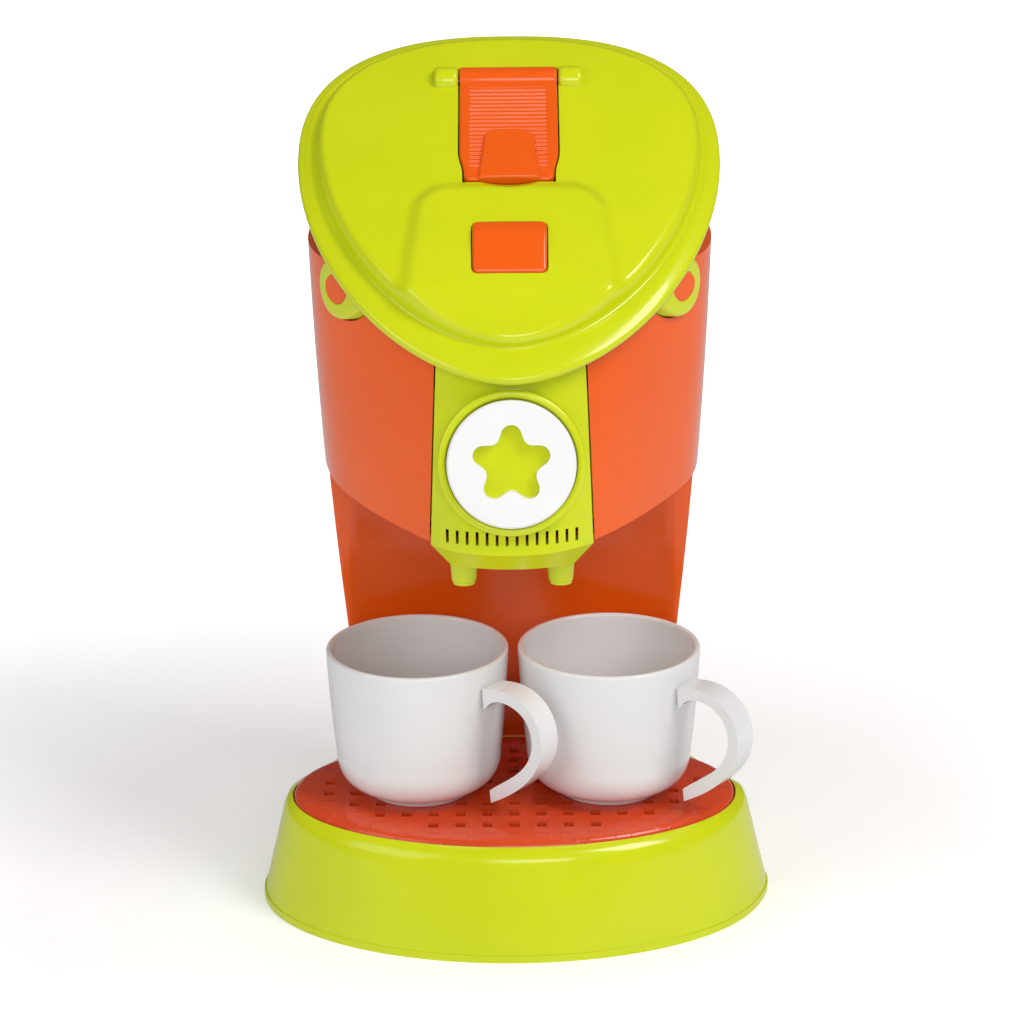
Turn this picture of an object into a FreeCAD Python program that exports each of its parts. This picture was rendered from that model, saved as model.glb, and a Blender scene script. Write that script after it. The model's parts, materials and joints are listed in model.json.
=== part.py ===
# Toy coffee maker: a flared base with a lift-out drip tray, a hollow column that carries
# the head, a tilting lid with a flap and a push button, a turning star dial, two spouts
# and two cups with clip-on handles.
# The frame: +X to the right, +Y to the rear, +Z up, origin under the drip tray's centre.
import FreeCAD, Part
import math
import os
import re
from types import SimpleNamespace
from FreeCAD import Placement, Rotation, Vector

os.makedirs("parts", exist_ok=True)
doc = FreeCAD.newDocument("ToyCoffeeMaker")

# Driving sizes, in millimetres and degrees.
sizes = {
    # base
    "base_half_width": 84.3,
    "base_half_depth": 56.5,
    "base_top": 35.5,
    "base_flare": 7.4,
    "base_wall": 2.5,
    "base_round": 4.0,
    "lobe_half_width": 68.5,
    "lobe_half_depth": 52.0,
    "lobe_centre": 28.0,
    "lobe_flare": 9.5,
    "outline_hub": 10.0,
    "outline_power": 24.0,
    "plate_thickness": 2.4,
    "plate_lip": 0.5,
    "ledge_width": 4.5,
    "basin_depth": 14.0,
    # drip tray
    "tray_half_width": 73.5,
    "tray_half_depth": 44.6,
    "tray_thickness": 4.0,
    "tray_proud": 1.5,
    "tray_gap": 0.4,
    "tray_round": 2.2,
    "grid_pitch": 8.8,
    "grid_hole": 3.2,
    "grid_columns": 15,
    "grid_rows": 8,
    "grid_margin": 9.0,
    # fasteners
    "screw_shank": 1.5,
    "thread_gap": 0.03,
    "screw_head": 2.9,
    "screw_head_height": 1.6,
    "screw_length": 12.0,
    "boss_radius": 3.8,
    # housing of column and head
    "foot_half_width": 50.3,
    "waist_half_width": 55.9,
    "waist_height": 86.0,
    "shoulder_half_width": 61.1,
    "shoulder_height": 140.0,
    "crown_half_width": 65.6,
    "crown_height": 236.0,
    "housing_centre": 28.0,
    "rear_share": 0.66,
    "nose_power": 1.8,
    "tail_power": 2.1,
    "front_foot": -45.0,
    "front_foot_height": 137.0,
    "lean": 9.0,
    "wall": 2.5,
    "arm_front": 33.0,
    "bay_radius": 110.0,
    "bay_depth": 47.1,
    "bay_ceiling": 142.5,
    "cover_seam": 42.0,
    "seam_gap": 0.25,
    # front panel and spouts
    "panel_top_width": 46.4,
    "panel_foot_width": 50.8,
    "panel_foot_height": 136.2,
    "panel_top_height": 192.0,
    "panel_thickness": 2.6,
    "panel_proud": 1.2,
    "panel_gap": 0.5,
    "slot_count": 14,
    "slot_pitch": 3.1,
    "slot_width": 0.9,
    "slot_height": 4.2,
    "slot_foot": 138.2,
    "block_sag": 8.6,
    "block_rear": -2.0,
    "block_drop": 7.8,
    "block_bevel": 6.2,
    "spout_spacing": 31.0,
    "spout_place": -18.0,
    "spout_radius": 4.8,
    "spout_tip_radius": 3.9,
    "spout_bottom": 116.2,
    "water_bore": 2.0,
    # dial and tap
    "dial_height": 164.2,
    "dial_radius": 20.0,
    "dial_thickness": 2.6,
    "ring_radius": 22.8,
    "ring_height": 2.6,
    "ring_floor": 0.4,
    "ring_gap": 0.35,
    "star_radius": 12.4,
    "star_notch": 8.2,
    "star_points": 5,
    "star_tip": 3.2,
    "star_corner": 3.0,
    "hub_thickness": 2.0,
    "shaft_radius": 4.0,
    "shaft_length": 17.4,
    "running_gap": 0.06,
    "clip_radius": 7.0,
    "clip_thickness": 1.2,
    "tap_radius": 9.0,
    "tap_length": 16.0,
    "core_radius": 5.5,
    "pipe_radius": 3.4,
    # lid
    "lid_tilt": 36.0,
    "lid_centre": 29.0,
    "lid_height": 242.6,
    "lid_half_width": 67.8,
    "lid_front": 90.5,
    "lid_rear": 53.7,
    "lid_nose_power": 1.8,
    "lid_tail_power": 2.5,
    "lid_edge": 2.6,
    "lid_wall": 2.4,
    "lid_opening": 30.0,
    "lid_gap": 0.4,
    "brim_rise": 2.0,
    "dome_half_width": 61.5,
    "dome_front": 79.0,
    "dome_rear": 46.0,
    "dome_centre": 2.5,
    "dome_draft": 1.6,
    "dome_height": 14.2,
    "dome_radius": 428.0,
    "dome_peak": -8.0,
    "liner_half_width": 57.5,
    "swing_half_width": 60.2,
    "swing_depth": 38.6,
    "liner_start": -36.0,
    "liner_front": 68.0,
    "liner_wall": 2.0,
    "liner_overlap": 4.0,
    # lid pivot
    "pin_place": -4.4,
    "pin_height": 209.9,
    "pin_radius": 4.6,
    "pin_inner": 40.0,
    "ear_radius": 9.5,
    "ear_inner": 43.5,
    "ear_proud": 2.2,
    "ear_gap": 0.5,
    # flap
    "flap_width": 31.4,
    "flap_front": -20.0,
    "flap_rear": 22.5,
    "flap_floor": 10.4,
    "flap_pin_place": 25.2,
    "flap_pin_rise": 11.5,
    "flap_pin_half": 22.5,
    "flap_pin_radius": 1.2,
    "flap_barrel_radius": 4.2,
    "flap_hole_width": 22.0,
    "flap_hole_front": -14.0,
    "flap_hole_rear": 16.0,
    "rib_count": 20,
    "rib_front": -14.7,
    "rib_rear": 19.6,
    "scoop_radius": 26.0,
    "scoop_depth": 1.8,
    "rib_width": 24.6,
    "rib_height": 0.6,
    "lug_width": 7.6,
    "lug_gap": 0.5,
    # button
    "mound_half_width": 28.5,
    "mound_rear": -22.5,
    "mound_front": -66.0,
    "mound_height": 2.6,
    "button_width": 23.2,
    "button_rear": -38.4,
    "button_front": -59.0,
    "button_gap": 0.3,
    "button_flange": 2.0,
    "spring_radius": 4.2,
    "spring_wire": 0.8,
    "spring_turns": 4,
    "spring_top": 11.0,
    "button_frame": 8.0,
    "button_stop": 1.4,
    # water tank
    "tank_half_width": 39.0,
    "tank_front": 4.0,
    "tank_rear": 47.0,
    "tank_height": 44.0,
    "tank_wall": 2.0,
    # cups
    "cup_spacing": 63.0,
    "cup_place": 0.8,
    "cup_rim_radius": 30.0,
    "cup_height": 50.4,
    "cup_foot_radius": 17.6,
    "cup_foot_height": 2.6,
    "cup_belly_radius": 27.4,
    "cup_belly_height": 15.0,
    "cup_wall": 2.0,
    "cup_floor": 4.0,
    "handle_angle": -37.5,
    "handle_reach": 54.0,
    "handle_width": 9.0,
}

sheet = doc.addObject("Spreadsheet::Sheet", "Sizes")
for row, (alias, amount) in enumerate(sizes.items(), start=1):
    sheet.set("A%d" % row, alias.replace("_", " "))
    sheet.set("B%d" % row, str(amount))
    sheet.setAlias("B%d" % row, alias)
doc.recompute()
size = SimpleNamespace(**{alias: float(sheet.get(alias)) for alias in sizes})


def expression(formula):
    # every word of the formula that names a size becomes a reference to its cell
    return re.sub(r"[a-z_]+", lambda word: "Sizes." + word.group() if word.group() in sizes
                  else word.group(), formula)


def bind(feature, **formulas):
    for property_name, formula in formulas.items():
        feature.setExpression(property_name, expression(formula))
    return feature


def at(x=0.0, y=0.0, z=0.0, frame=Placement(), turn=Rotation()):
    return frame.multiply(Placement(Vector(x, y, z), turn))


# frames of the lid, the lid when it is fully open, the head's floor and the dial
lid_frame = Placement(Vector(0, size.lid_centre, size.lid_height),
                      Rotation(Vector(1, 0, 0), size.lid_tilt))
pivot = Vector(0, size.pin_place, size.pin_height)
swing = Placement(Vector(), Rotation(Vector(1, 0, 0), -size.lid_opening), pivot)
open_frame = swing.multiply(lid_frame)
floor_frame = Placement(Vector(0, 0, size.bay_ceiling), Rotation(Vector(1, 0, 0), size.lean))
slope = math.tan(math.radians(size.lean))
along_x = Rotation(Vector(0, 1, 0), 90)


def front_at(height):
    # the head's front face leans back by the lean angle
    return size.front_foot + (height - size.front_foot_height) * slope


dial_frame = Placement(Vector(0, front_at(size.dial_height) - size.panel_proud, size.dial_height),
                       Rotation(Vector(1, 0, 0), 90 - size.lean))


def box(name, length, width, height, place):
    solid = bind(doc.addObject("Part::Box", name), Length=length, Width=width, Height=height)
    solid.Placement = place
    return solid


def cylinder(name, radius, height, place):
    solid = bind(doc.addObject("Part::Cylinder", name), Radius=radius, Height=height)
    solid.Placement = place
    return solid


def ellipse(name, half_width, half_depth, place):
    ring = bind(doc.addObject("Part::Ellipse", name), MajorRadius=half_width, MinorRadius=half_depth)
    ring.Placement = place
    return ring


def closed(name, points, place):
    # a closed outline of straight runs
    ring = doc.addObject("Part::Feature", name)
    ring.Shape = Part.makePolygon(points + points[:1])
    ring.Placement = place
    return ring


def egg(name, half_width, front, rear, nose, tail, place, hidden=False):
    # a closed oval from |x/a|^n + |y/b|^n = 1, with its own depth and power before and behind,
    # drawn counter-clockwise: in short straight runs where it is hidden, else as four curves
    count = 9 if hidden else 3
    points = []
    for step in range(4 * count):
        angle = math.pi / 2 * step / count
        across, along = math.cos(angle), math.sin(angle)
        power = nose if along < 0 else tail
        depth = front if along < 0 else rear
        x = half_width * math.copysign(abs(across) ** (2 / power), across)
        y = depth * math.copysign(abs(along) ** (2 / power), along)
        points.append(Vector(x if abs(across) > 1e-9 else 0, y if abs(along) > 1e-9 else 0, 0))
    if hidden:
        return closed(name, points, place)
    tangents = [Vector(0, 1, 0), Vector(-1, 0, 0), Vector(0, -1, 0), Vector(1, 0, 0)]
    points.append(points[0])
    edges = []
    for quarter in range(4):
        curve = Part.BSplineCurve()
        curve.interpolate(Points=points[quarter * count:quarter * count + count + 1],
                          InitialTangent=tangents[quarter],
                          FinalTangent=tangents[(quarter + 1) % 4])
        edges.append(curve.toShape())
    ring = doc.addObject("Part::Feature", name)
    ring.Shape = Part.Wire(edges)
    ring.Placement = place
    return ring


def loft(name, *rings, ruled=True):
    solid = doc.addObject("Part::Loft", name)
    solid.Sections = list(rings)
    solid.Solid = True
    solid.Ruled = ruled
    return solid


def extrude(name, ring, height):
    solid = doc.addObject("Part::Extrusion", name)
    solid.Base = ring
    solid.DirMode = "Normal"
    solid.Solid = True
    bind(solid, LengthFwd=height)
    return solid


def cut(name, base, *tools):
    tool = tools[0] if len(tools) == 1 else fuse(name + "_tools", *tools)
    solid = doc.addObject("Part::Cut", name)
    solid.Base = base
    solid.Tool = tool
    return solid


def fuse(name, *parts):
    if len(parts) == 2:
        solid = doc.addObject("Part::Fuse", name)
        solid.Base, solid.Tool = parts
    else:
        solid = doc.addObject("Part::MultiFuse", name)
        solid.Shapes = list(parts)
    return solid


def common(name, *parts):
    solid = doc.addObject("Part::MultiCommon", name)
    solid.Shapes = list(parts)
    return solid


def group(name, *parts):
    solids = doc.addObject("Part::Compound", name)
    solids.Links = list(parts)
    return solids


def rounded(name, base, radius, chosen, kind="Part::Fillet"):
    # rounds or chamfers every edge of the base for which chosen(edge) holds
    doc.recompute()
    solid = doc.addObject(kind, name)
    solid.Base = base
    solid.Edges = [(number, radius, radius)
                   for number, edge in enumerate(base.Shape.Edges, start=1) if chosen(edge)]
    return solid


def flat_at(edge, height, slack=0.01):
    return abs(edge.BoundBox.ZMin - height) < slack and abs(edge.BoundBox.ZMax - height) < slack


nodes = {}


def keep(name, solid):
    nodes[name] = solid
    solid.Label = name


def screw(name, place, length="screw_length"):
    # a pan head under a plain shank, its axis along the placement's +Z
    head = cylinder(name + "_head", "screw_head", "screw_head_height", place)
    shank = cylinder(name + "_shank", "screw_shank", length, place)
    return fuse(name, head, shank)


tray_top = size.base_top + size.tray_proud
tray_seat = tray_top - size.tray_thickness
ceiling = tray_seat - size.base_wall
basin_floor = size.base_top - size.basin_depth
base_screw_places = [(-50.0, -18.0), (50.0, -18.0), (-36.0, 54.0), (36.0, 54.0)]
column_screw_places = [(-36.0, 46.2), (36.0, 46.2), (0.0, 53.0)]


def ray_to_ellipse(wide, deep, centre, across, along):
    # distance from (0, hub) in a direction to an ellipse centred at (0, centre)
    offset = size.outline_hub - centre
    a = (across / wide) ** 2 + (along / deep) ** 2
    b = 2 * offset * along / deep ** 2
    c = (offset / deep) ** 2 - 1
    return (-b + math.sqrt(b * b - 4 * a * c)) / (2 * a)


def base_ring(name, height, inset, flared, hidden=False):
    # the tray's oval and the column's lobe in one outline: in each direction from the hub the
    # power mean of the two distances, which rounds the inner corners where the ovals cross
    shrink = inset + (size.base_flare if flared else 0)
    lobe_shrink = inset + (size.lobe_flare if flared else 0)
    points = []
    for step in range(48):
        angle = 2 * math.pi * step / 48
        across, along = math.cos(angle), math.sin(angle)
        oval = ray_to_ellipse(size.base_half_width - shrink, size.base_half_depth - shrink,
                              0, across, along)
        lobe = ray_to_ellipse(size.lobe_half_width - lobe_shrink,
                              size.lobe_half_depth - lobe_shrink, size.lobe_centre, across, along)
        reach = (oval ** size.outline_power + lobe ** size.outline_power) ** (1 / size.outline_power)
        points.append(Vector(reach * across, size.outline_hub + reach * along, 0))
    if hidden:
        return closed(name, points, at(z=height))
    curve = Part.BSplineCurve()
    curve.interpolate(Points=points[::2], PeriodicFlag=True)
    ring = doc.addObject("Part::Feature", name)
    ring.Shape = Part.Wire(curve.toShape())
    ring.Placement = at(z=height)
    return ring


def base_outer(name, inset, hidden=False):
    # the flared side wall from the floor plate up to the softened edge of the base's top
    soft = size.base_round
    levels = [("foot", size.plate_thickness, size.plate_lip, False),
              ("side", size.base_top - soft, 0, True),
              ("bend", size.base_top - 0.3 * soft, 0.3 * soft, True),
              ("top", size.base_top, soft, True)]
    return loft(name, *[base_ring("%s_%s" % (name, level), height, inset + step, flared, hidden)
                        for level, height, step, flared in levels])


def build_base():
    shell = base_outer("base_body", 0)
    below_ceiling = box("base_ceiling", "4 * base_half_width", "4 * base_half_width",
                        "base_top + tray_proud - tray_thickness - base_wall - plate_thickness",
                        at(-2 * size.base_half_width, -2 * size.base_half_width,
                           size.plate_thickness))
    hollow = common("base_hollow", base_outer("base_inner", size.base_wall, True), below_ceiling)
    basin_wall = extrude("basin_wall",
                         ellipse("basin_wall_ring", "tray_half_width - ledge_width + base_wall",
                                 "tray_half_depth - ledge_width + base_wall",
                                 at(z=basin_floor - size.base_wall)), "base_top")
    posts = []
    holes = []
    for number, (x, y) in enumerate(base_screw_places, start=1):
        posts.append(cylinder("base_post_%d" % number, "boss_radius",
                              "base_top + tray_proud - tray_thickness - base_wall"
                              " - plate_thickness", at(x, y, size.plate_thickness)))
        holes.append(cylinder("base_post_hole_%d" % number, "screw_shank + thread_gap",
                              "screw_length",
                              at(x, y, size.plate_thickness)))
    for number, (x, y) in enumerate(column_screw_places, start=1):
        holes.append(cylinder("column_screw_hole_%d" % number, "screw_shank + thread_gap",
                              "screw_length",
                              at(x, y, ceiling - 1)))
    cavity = cut("base_cavity", hollow, basin_wall, *posts)
    recess = extrude("tray_recess",
                     ellipse("tray_recess_ring", "tray_half_width + tray_gap",
                             "tray_half_depth + tray_gap", at(z=tray_seat)), "base_top")
    basin = extrude("basin",
                    ellipse("basin_ring", "tray_half_width - ledge_width",
                            "tray_half_depth - ledge_width", at(z=basin_floor)), "base_top")
    keep("base_shell", cut("base_shell", shell, cavity, recess, basin, *holes))

    # the floor plate closes the base from below and shows as a thin lip
    plate = extrude("plate_body", base_ring("plate_ring", 0, 0, False), "plate_thickness")
    sinks = []
    screws = []
    for number, (x, y) in enumerate(base_screw_places, start=1):
        sinks.append(cylinder("plate_hole_%d" % number, "screw_shank + thread_gap",
                              "plate_thickness",
                              at(x, y)))
        sinks.append(cylinder("plate_sink_%d" % number, "screw_head", "screw_head_height + 0.1",
                              at(x, y)))
        screws.append(screw("base_screw_%d" % number, at(x, y, 0.1)))
    keep("base_plate", cut("base_plate", plate, *sinks))
    keep("base_screws", group("base_screws", *screws))
    keep("column_screws", group("column_screws", *[
        screw("column_screw_%d" % number, at(x, y, ceiling - size.screw_head_height))
        for number, (x, y) in enumerate(column_screw_places, start=1)]))


def build_tray():
    def level(name, inset, height):
        return ellipse(name, "tray_half_width - %s" % inset, "tray_half_depth - %s" % inset,
                       at(z=height))

    soft = size.tray_round
    rim = loft("tray_rim", level("tray_foot", 0, tray_seat), level("tray_side", 0, tray_top - soft),
               level("tray_bend", 0.3 * soft, tray_top - 0.3 * soft),
               level("tray_edge", soft, tray_top))
    relief = extrude("tray_relief",
                     ellipse("tray_relief_ring", "tray_half_width - ledge_width - tray_gap",
                             "tray_half_depth - ledge_width - tray_gap",
                             at(z=tray_seat - size.tray_thickness / 2)), "tray_thickness")
    # square drain holes on an even grid, kept inside an oval margin
    holes = []
    columns, rows = int(size.grid_columns), int(size.grid_rows)
    for column in range(columns):
        for row in range(rows):
            x = (column - (columns - 1) / 2) * size.grid_pitch
            y = (row - (rows - 1) / 2) * size.grid_pitch
            reach_x = size.tray_half_width - size.grid_margin
            reach_y = size.tray_half_depth - size.grid_margin
            if (x / reach_x) ** 2 + (y / reach_y) ** 2 < 1:
                holes.append(box("drain_%d_%d" % (column, row), "grid_hole", "grid_hole",
                                 "2 * tray_thickness",
                                 at(x - size.grid_hole / 2, y - size.grid_hole / 2, tray_seat)))
    keep("drip_tray", cut("drip_tray", rim, relief, *holes))


def housing_form(name, spread, hidden=False):
    # the egg-shaped outside of column and head, moved outwards by the spread
    rings = []
    levels = [(size.base_top, "foot"), (size.shoulder_height, "shoulder"),
              (size.crown_height, "crown")]
    for height, level in levels:
        half = getattr(size, level + "_half_width")
        rings.append(egg(name + "_" + level, half + spread,
                         size.housing_centre - front_at(height) + spread,
                         half * size.rear_share + spread, size.nose_power, size.tail_power,
                         at(y=size.housing_centre, z=height), hidden))
    return loft(name, *rings, ruled=hidden)


def housing_rear_at(x, half_width):
    # how far back the housing's outside lies at a distance from the middle
    share = 1 - (abs(x) / half_width) ** size.tail_power
    return size.housing_centre + half_width * size.rear_share * share ** (1 / size.tail_power)


def bay(name, spread):
    # the open space over the tray, in front of the column and under the head
    depth = size.arm_front + spread
    block = box(name + "_block", "3 * base_half_width", "300", "300", at())
    block.Placement = at(-1.5 * size.base_half_width, depth - 300, -20)
    curve = cylinder(name + "_curve", "bay_radius + %s" % spread, "300",
                     at(y=size.bay_depth - size.bay_radius, z=-20))
    under = box(name + "_under", "600", "600", "400", at(-300, -300, spread - 400, floor_frame))
    return common(name, fuse(name + "_plan", block, curve), under)


def above(name, frame, gap):
    return box(name, "400", "500", "300", at(-200, -250, -gap, frame))


def trapezoid(name, spread, foot, top):
    # a vertical prism along Y with the panel's tapering width, from a foot to a top height
    slant = (size.panel_top_width - size.panel_foot_width) / 2
    rise = size.panel_top_height - size.panel_foot_height
    half_foot = size.panel_foot_width / 2 + spread + slant * (foot - size.panel_foot_height) / rise
    half_top = size.panel_foot_width / 2 + spread + slant * (top - size.panel_foot_height) / rise
    corners = [Vector(-half_foot, -90, foot), Vector(half_foot, -90, foot),
               Vector(half_top, -90, top), Vector(-half_top, -90, top)]
    face = Part.Face(Part.makePolygon(corners + corners[:1]))
    prism = doc.addObject("Part::Feature", name)
    prism.Shape = face.extrude(Vector(0, 80, 0))
    return prism


cover_screws = [(side * 28.0, height, half)
                for height, half in ((size.waist_height, size.waist_half_width),
                                     (size.shoulder_height, size.shoulder_half_width))
                for side in (-1, 1)]
backwards = Rotation(Vector(1, 0, 0), 90)


def screw_seat(x, half):
    # the screw heads of the rear cover stand a little proud of its curved outside
    return housing_rear_at(x, half) - size.screw_head_height + 0.2


def across_both(name, radius, start, reach=30):
    # a pair of cylinders about the lid's pivot axis, from a distance to the middle outwards
    pair = []
    for side in (-1, 1):
        pair.append(cylinder("%s_%d" % (name, side + 2), radius, "%s" % reach,
                             at(min(side * start, side * (start + reach)),
                                size.pin_place, size.pin_height, turn=along_x)))
    return pair


def build_housing():
    outside = housing_form("housing_outside", 0)
    inside = common("housing_inside", housing_form("housing_inner", -size.wall, True),
                    box("housing_floor", "600", "600", "400",
                        at(-300, -300, size.base_top + size.wall)))
    open_top = fuse("housing_open_top", above("rim_plane", lid_frame, size.lid_gap),
                    above("open_plane", open_frame, size.lid_gap))

    # posts on the bay's wall take the screws of the rear cover and of the base
    posts = []
    holes = []
    clear = []
    for number, (x, height, half) in enumerate(cover_screws, start=1):
        start = size.arm_front + 8
        reach = housing_rear_at(x, half) - start
        seat = screw_seat(x, half)
        posts.append(box("cover_post_%d" % number, "2 * boss_radius", "%s" % reach,
                         "2 * boss_radius",
                         at(x - size.boss_radius, start, height - size.boss_radius)))
        clear.append(box("cover_post_off_%d" % number, "2 * boss_radius + 2 * seam_gap",
                         "%s" % (reach - size.wall), "2 * boss_radius + 2 * seam_gap",
                         at(x - size.boss_radius - size.seam_gap, start,
                            height - size.boss_radius - size.seam_gap)))
        holes.append(cylinder("cover_hole_%d" % number, "screw_shank + thread_gap",
                              "screw_length + 1",
                              at(x, seat + 1, height, turn=backwards)))
        clear.append(cylinder("cover_sink_%d" % number, "screw_head + 0.2", "30",
                              at(x, seat + 30, height, turn=backwards)))
    for number, (x, y) in enumerate(column_screw_places, start=1):
        posts.append(cylinder("column_post_%d" % number, "boss_radius", "screw_length",
                              at(x, y, size.base_top)))
        clear.append(cylinder("column_post_off_%d" % number, "boss_radius + seam_gap",
                              "screw_length + 1", at(x, y, size.base_top - 0.5)))
        holes.append(cylinder("column_post_hole_%d" % number, "screw_shank + thread_gap",
                              "screw_length",
                              at(x, y, ceiling - 1)))
    posts_in = cut("housing_posts", common("housing_posts_in",
                                           housing_form("post_limit", -size.wall - 0.1, True),
                                           fuse("housing_posts_all", *posts)),
                   bay("bay_posts", 0))

    # the seam runs down both sides; the bay's own wall and the posts stay with the front
    behind = cut("behind_seam",
                 box("seam_block", "600", "600", "600", at(-300, size.cover_seam, -100)),
                 bay("seam_bay", size.wall + size.seam_gap))
    keep("rear_cover", cut("rear_cover", cut("cover_skin", common("cover_part", outside, behind),
                                             inside, open_top),
                           *clear, *[hole for hole in holes if "cover" in hole.Name]))
    front_limit = cut("front_limit",
                      box("front_block", "600", "600", "600",
                          at(-300, size.cover_seam - size.seam_gap, -100)),
                      bay("front_bay", size.wall + 0.05))
    cavity = cut("housing_cavity", inside, bay("bay_wall", size.wall))
    window = cut("panel_window",
                 trapezoid("window_prism", size.panel_gap,
                           size.panel_foot_height - 20, size.panel_top_height + 20),
                 housing_form("window_inner", -size.wall - 0.2, True))
    skin = cut("front_skin", cut("front_hollow", cut("front_bayed", cut("front_part", outside,
                                                                       front_limit),
                                                     bay("bay_open", 0)), cavity), window)

    # bearings of the lid's pins grow inwards from the side walls
    bearings = common("bearings_in", outside,
                      fuse("bearings", *across_both("bearing", "ear_radius + 3", size.pin_inner)))
    trimmed = cut("front_trimmed", fuse("front_bearings", skin, bearings), open_top,
                  *across_both("pin_pad", "ear_radius + ear_gap", size.ear_inner - 0.3),
                  *across_both("pin_hole", "pin_radius + running_gap", size.pin_inner - 1))
    outlet = cylinder("outlet_hole", "pipe_radius + seam_gap", "20",
                      at(0, size.spout_place, size.bay_ceiling - 10))
    keep("housing_front", cut("housing_front", fuse("front_with_posts", trimmed, posts_in),
                              outlet, *holes))
    keep("cover_screws", group("cover_screws", *[
        screw("cover_screw_%d" % number,
              at(x, screw_seat(x, half) + size.screw_head_height, height, turn=backwards))
        for number, (x, height, half) in enumerate(cover_screws, start=1)]))


def dee(name, half_width, front, height, inset):
    # a plan outline with a bowed front and a straight back, for the block under the panel
    side = half_width - inset
    bow = front + inset
    corner = bow + size.block_sag * (side / half_width) ** 2
    bowed = Part.Arc(Vector(-side, corner, 0), Vector(0, bow, 0), Vector(side, corner, 0))
    back = [Vector(side, corner, 0), Vector(side, size.block_rear, 0),
            Vector(-side, size.block_rear, 0), Vector(-side, corner, 0)]
    edges = [bowed.toShape()] + [Part.makeLine(back[i], back[i + 1]) for i in range(3)]
    ring = doc.addObject("Part::Feature", name)
    ring.Shape = Part.Wire(edges)
    ring.Placement = at(z=height)
    return ring


def build_panel():
    front = housing_form("panel_front", size.panel_proud)
    back = housing_form("panel_back", -size.panel_thickness, True)
    flange_back = housing_form("flange_back", -size.wall - 2, True)
    flange_front = housing_form("flange_front", -size.wall - 0.1, True)
    plate = cut("panel_plate",
                common("panel_plate_form", front,
                       trapezoid("panel_prism", 0, size.panel_foot_height - 4,
                                 size.panel_top_height + 20)), back)
    under = box("panel_under", "600", "600", "400", at(-300, -300, -400, floor_frame))
    flange = cut("panel_flange",
                 common("panel_flange_form", flange_front,
                        trapezoid("flange_prism", 4, size.panel_foot_height + 6,
                                  size.panel_top_height - 8)), flange_back)
    ring = cylinder("ring_boss", "ring_radius", "ring_height + 12", at(z=-12, frame=dial_frame))
    ring_dish = cylinder("ring_dish", "dial_radius + ring_gap", "ring_height",
                         at(z=size.ring_floor, frame=dial_frame))
    shaft_hole = cylinder("panel_shaft_hole", "shaft_radius + running_gap", "40",
                          at(z=-30, frame=dial_frame))
    behind = cut("panel_behind", housing_form("panel_behind_form", -size.wall - 2, True),
                 box("panel_behind_limit", "600", "600", "600", at(-300, -10, -100)))
    slots = []
    count = int(size.slot_count)
    for number in range(count):
        x = (number - (count - 1) / 2) * size.slot_pitch
        slots.append(box("slot_%d" % number, "slot_width", "60", "slot_height",
                         at(x - size.slot_width / 2, -70, size.slot_foot)))
    rim = above("panel_under_lid", lid_frame, size.lid_gap)
    keep("front_panel", cut("front_panel", fuse("panel_body", plate, flange, ring),
                            behind, ring_dish, shaft_hole, rim, under, *slots))


def build_spouts():
    # the block under the panel, bevelled below, with the water way and the two spouts
    front = front_at(size.panel_foot_height) - size.panel_proud
    half = size.panel_foot_width / 2
    foot = size.panel_foot_height - size.block_drop
    bevel = loft("block_bevelled", dee("block_foot", half, front, foot, size.block_bevel),
                 dee("block_brow", half, front, size.panel_foot_height - 0.1, 0))
    upper = extrude("block_column", dee("block_ring", half, front,
                                        size.panel_foot_height - 0.1, 0), "20")
    body = common("block_body", fuse("block_form", bevel, upper),
                  box("block_limit", "600", "600", "400", at(-300, -300, -400.02, floor_frame)))
    ways = [cylinder("cross_bore", "water_bore", "spout_spacing",
                     at(-size.spout_spacing / 2, size.spout_place, foot + 4, turn=along_x)),
            cylinder("riser_bore", "water_bore", "40", at(0, size.spout_place, foot + 4))]
    for side in (-1, 1):
        ways.append(cylinder("drop_bore_%d" % (side + 2), "spout_radius - 1.2", "8",
                             at(side * size.spout_spacing / 2, size.spout_place, foot - 4)))
    keep("spout_block", cut("spout_block", body, *ways))
    for side, name in ((-1, "spout_left"), (1, "spout_right")):
        length = foot - size.spout_bottom
        place = at(side * size.spout_spacing / 2, size.spout_place, size.spout_bottom)
        cone = doc.addObject("Part::Cone", name + "_cone")
        bind(cone, Radius1="spout_tip_radius", Radius2="spout_radius", Height="%s" % length)
        cone.Placement = place
        soft = rounded(name + "_soft", cone, 1.2,
                       lambda edge: flat_at(edge, size.spout_bottom), "Part::Chamfer")
        plug = cylinder(name + "_plug", "spout_radius - 1.2", "%s" % (length + 3.8), place)
        bore = cylinder(name + "_bore", "water_bore", "60", place)
        keep(name, cut(name, fuse(name + "_body", soft, plug), bore))


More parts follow.
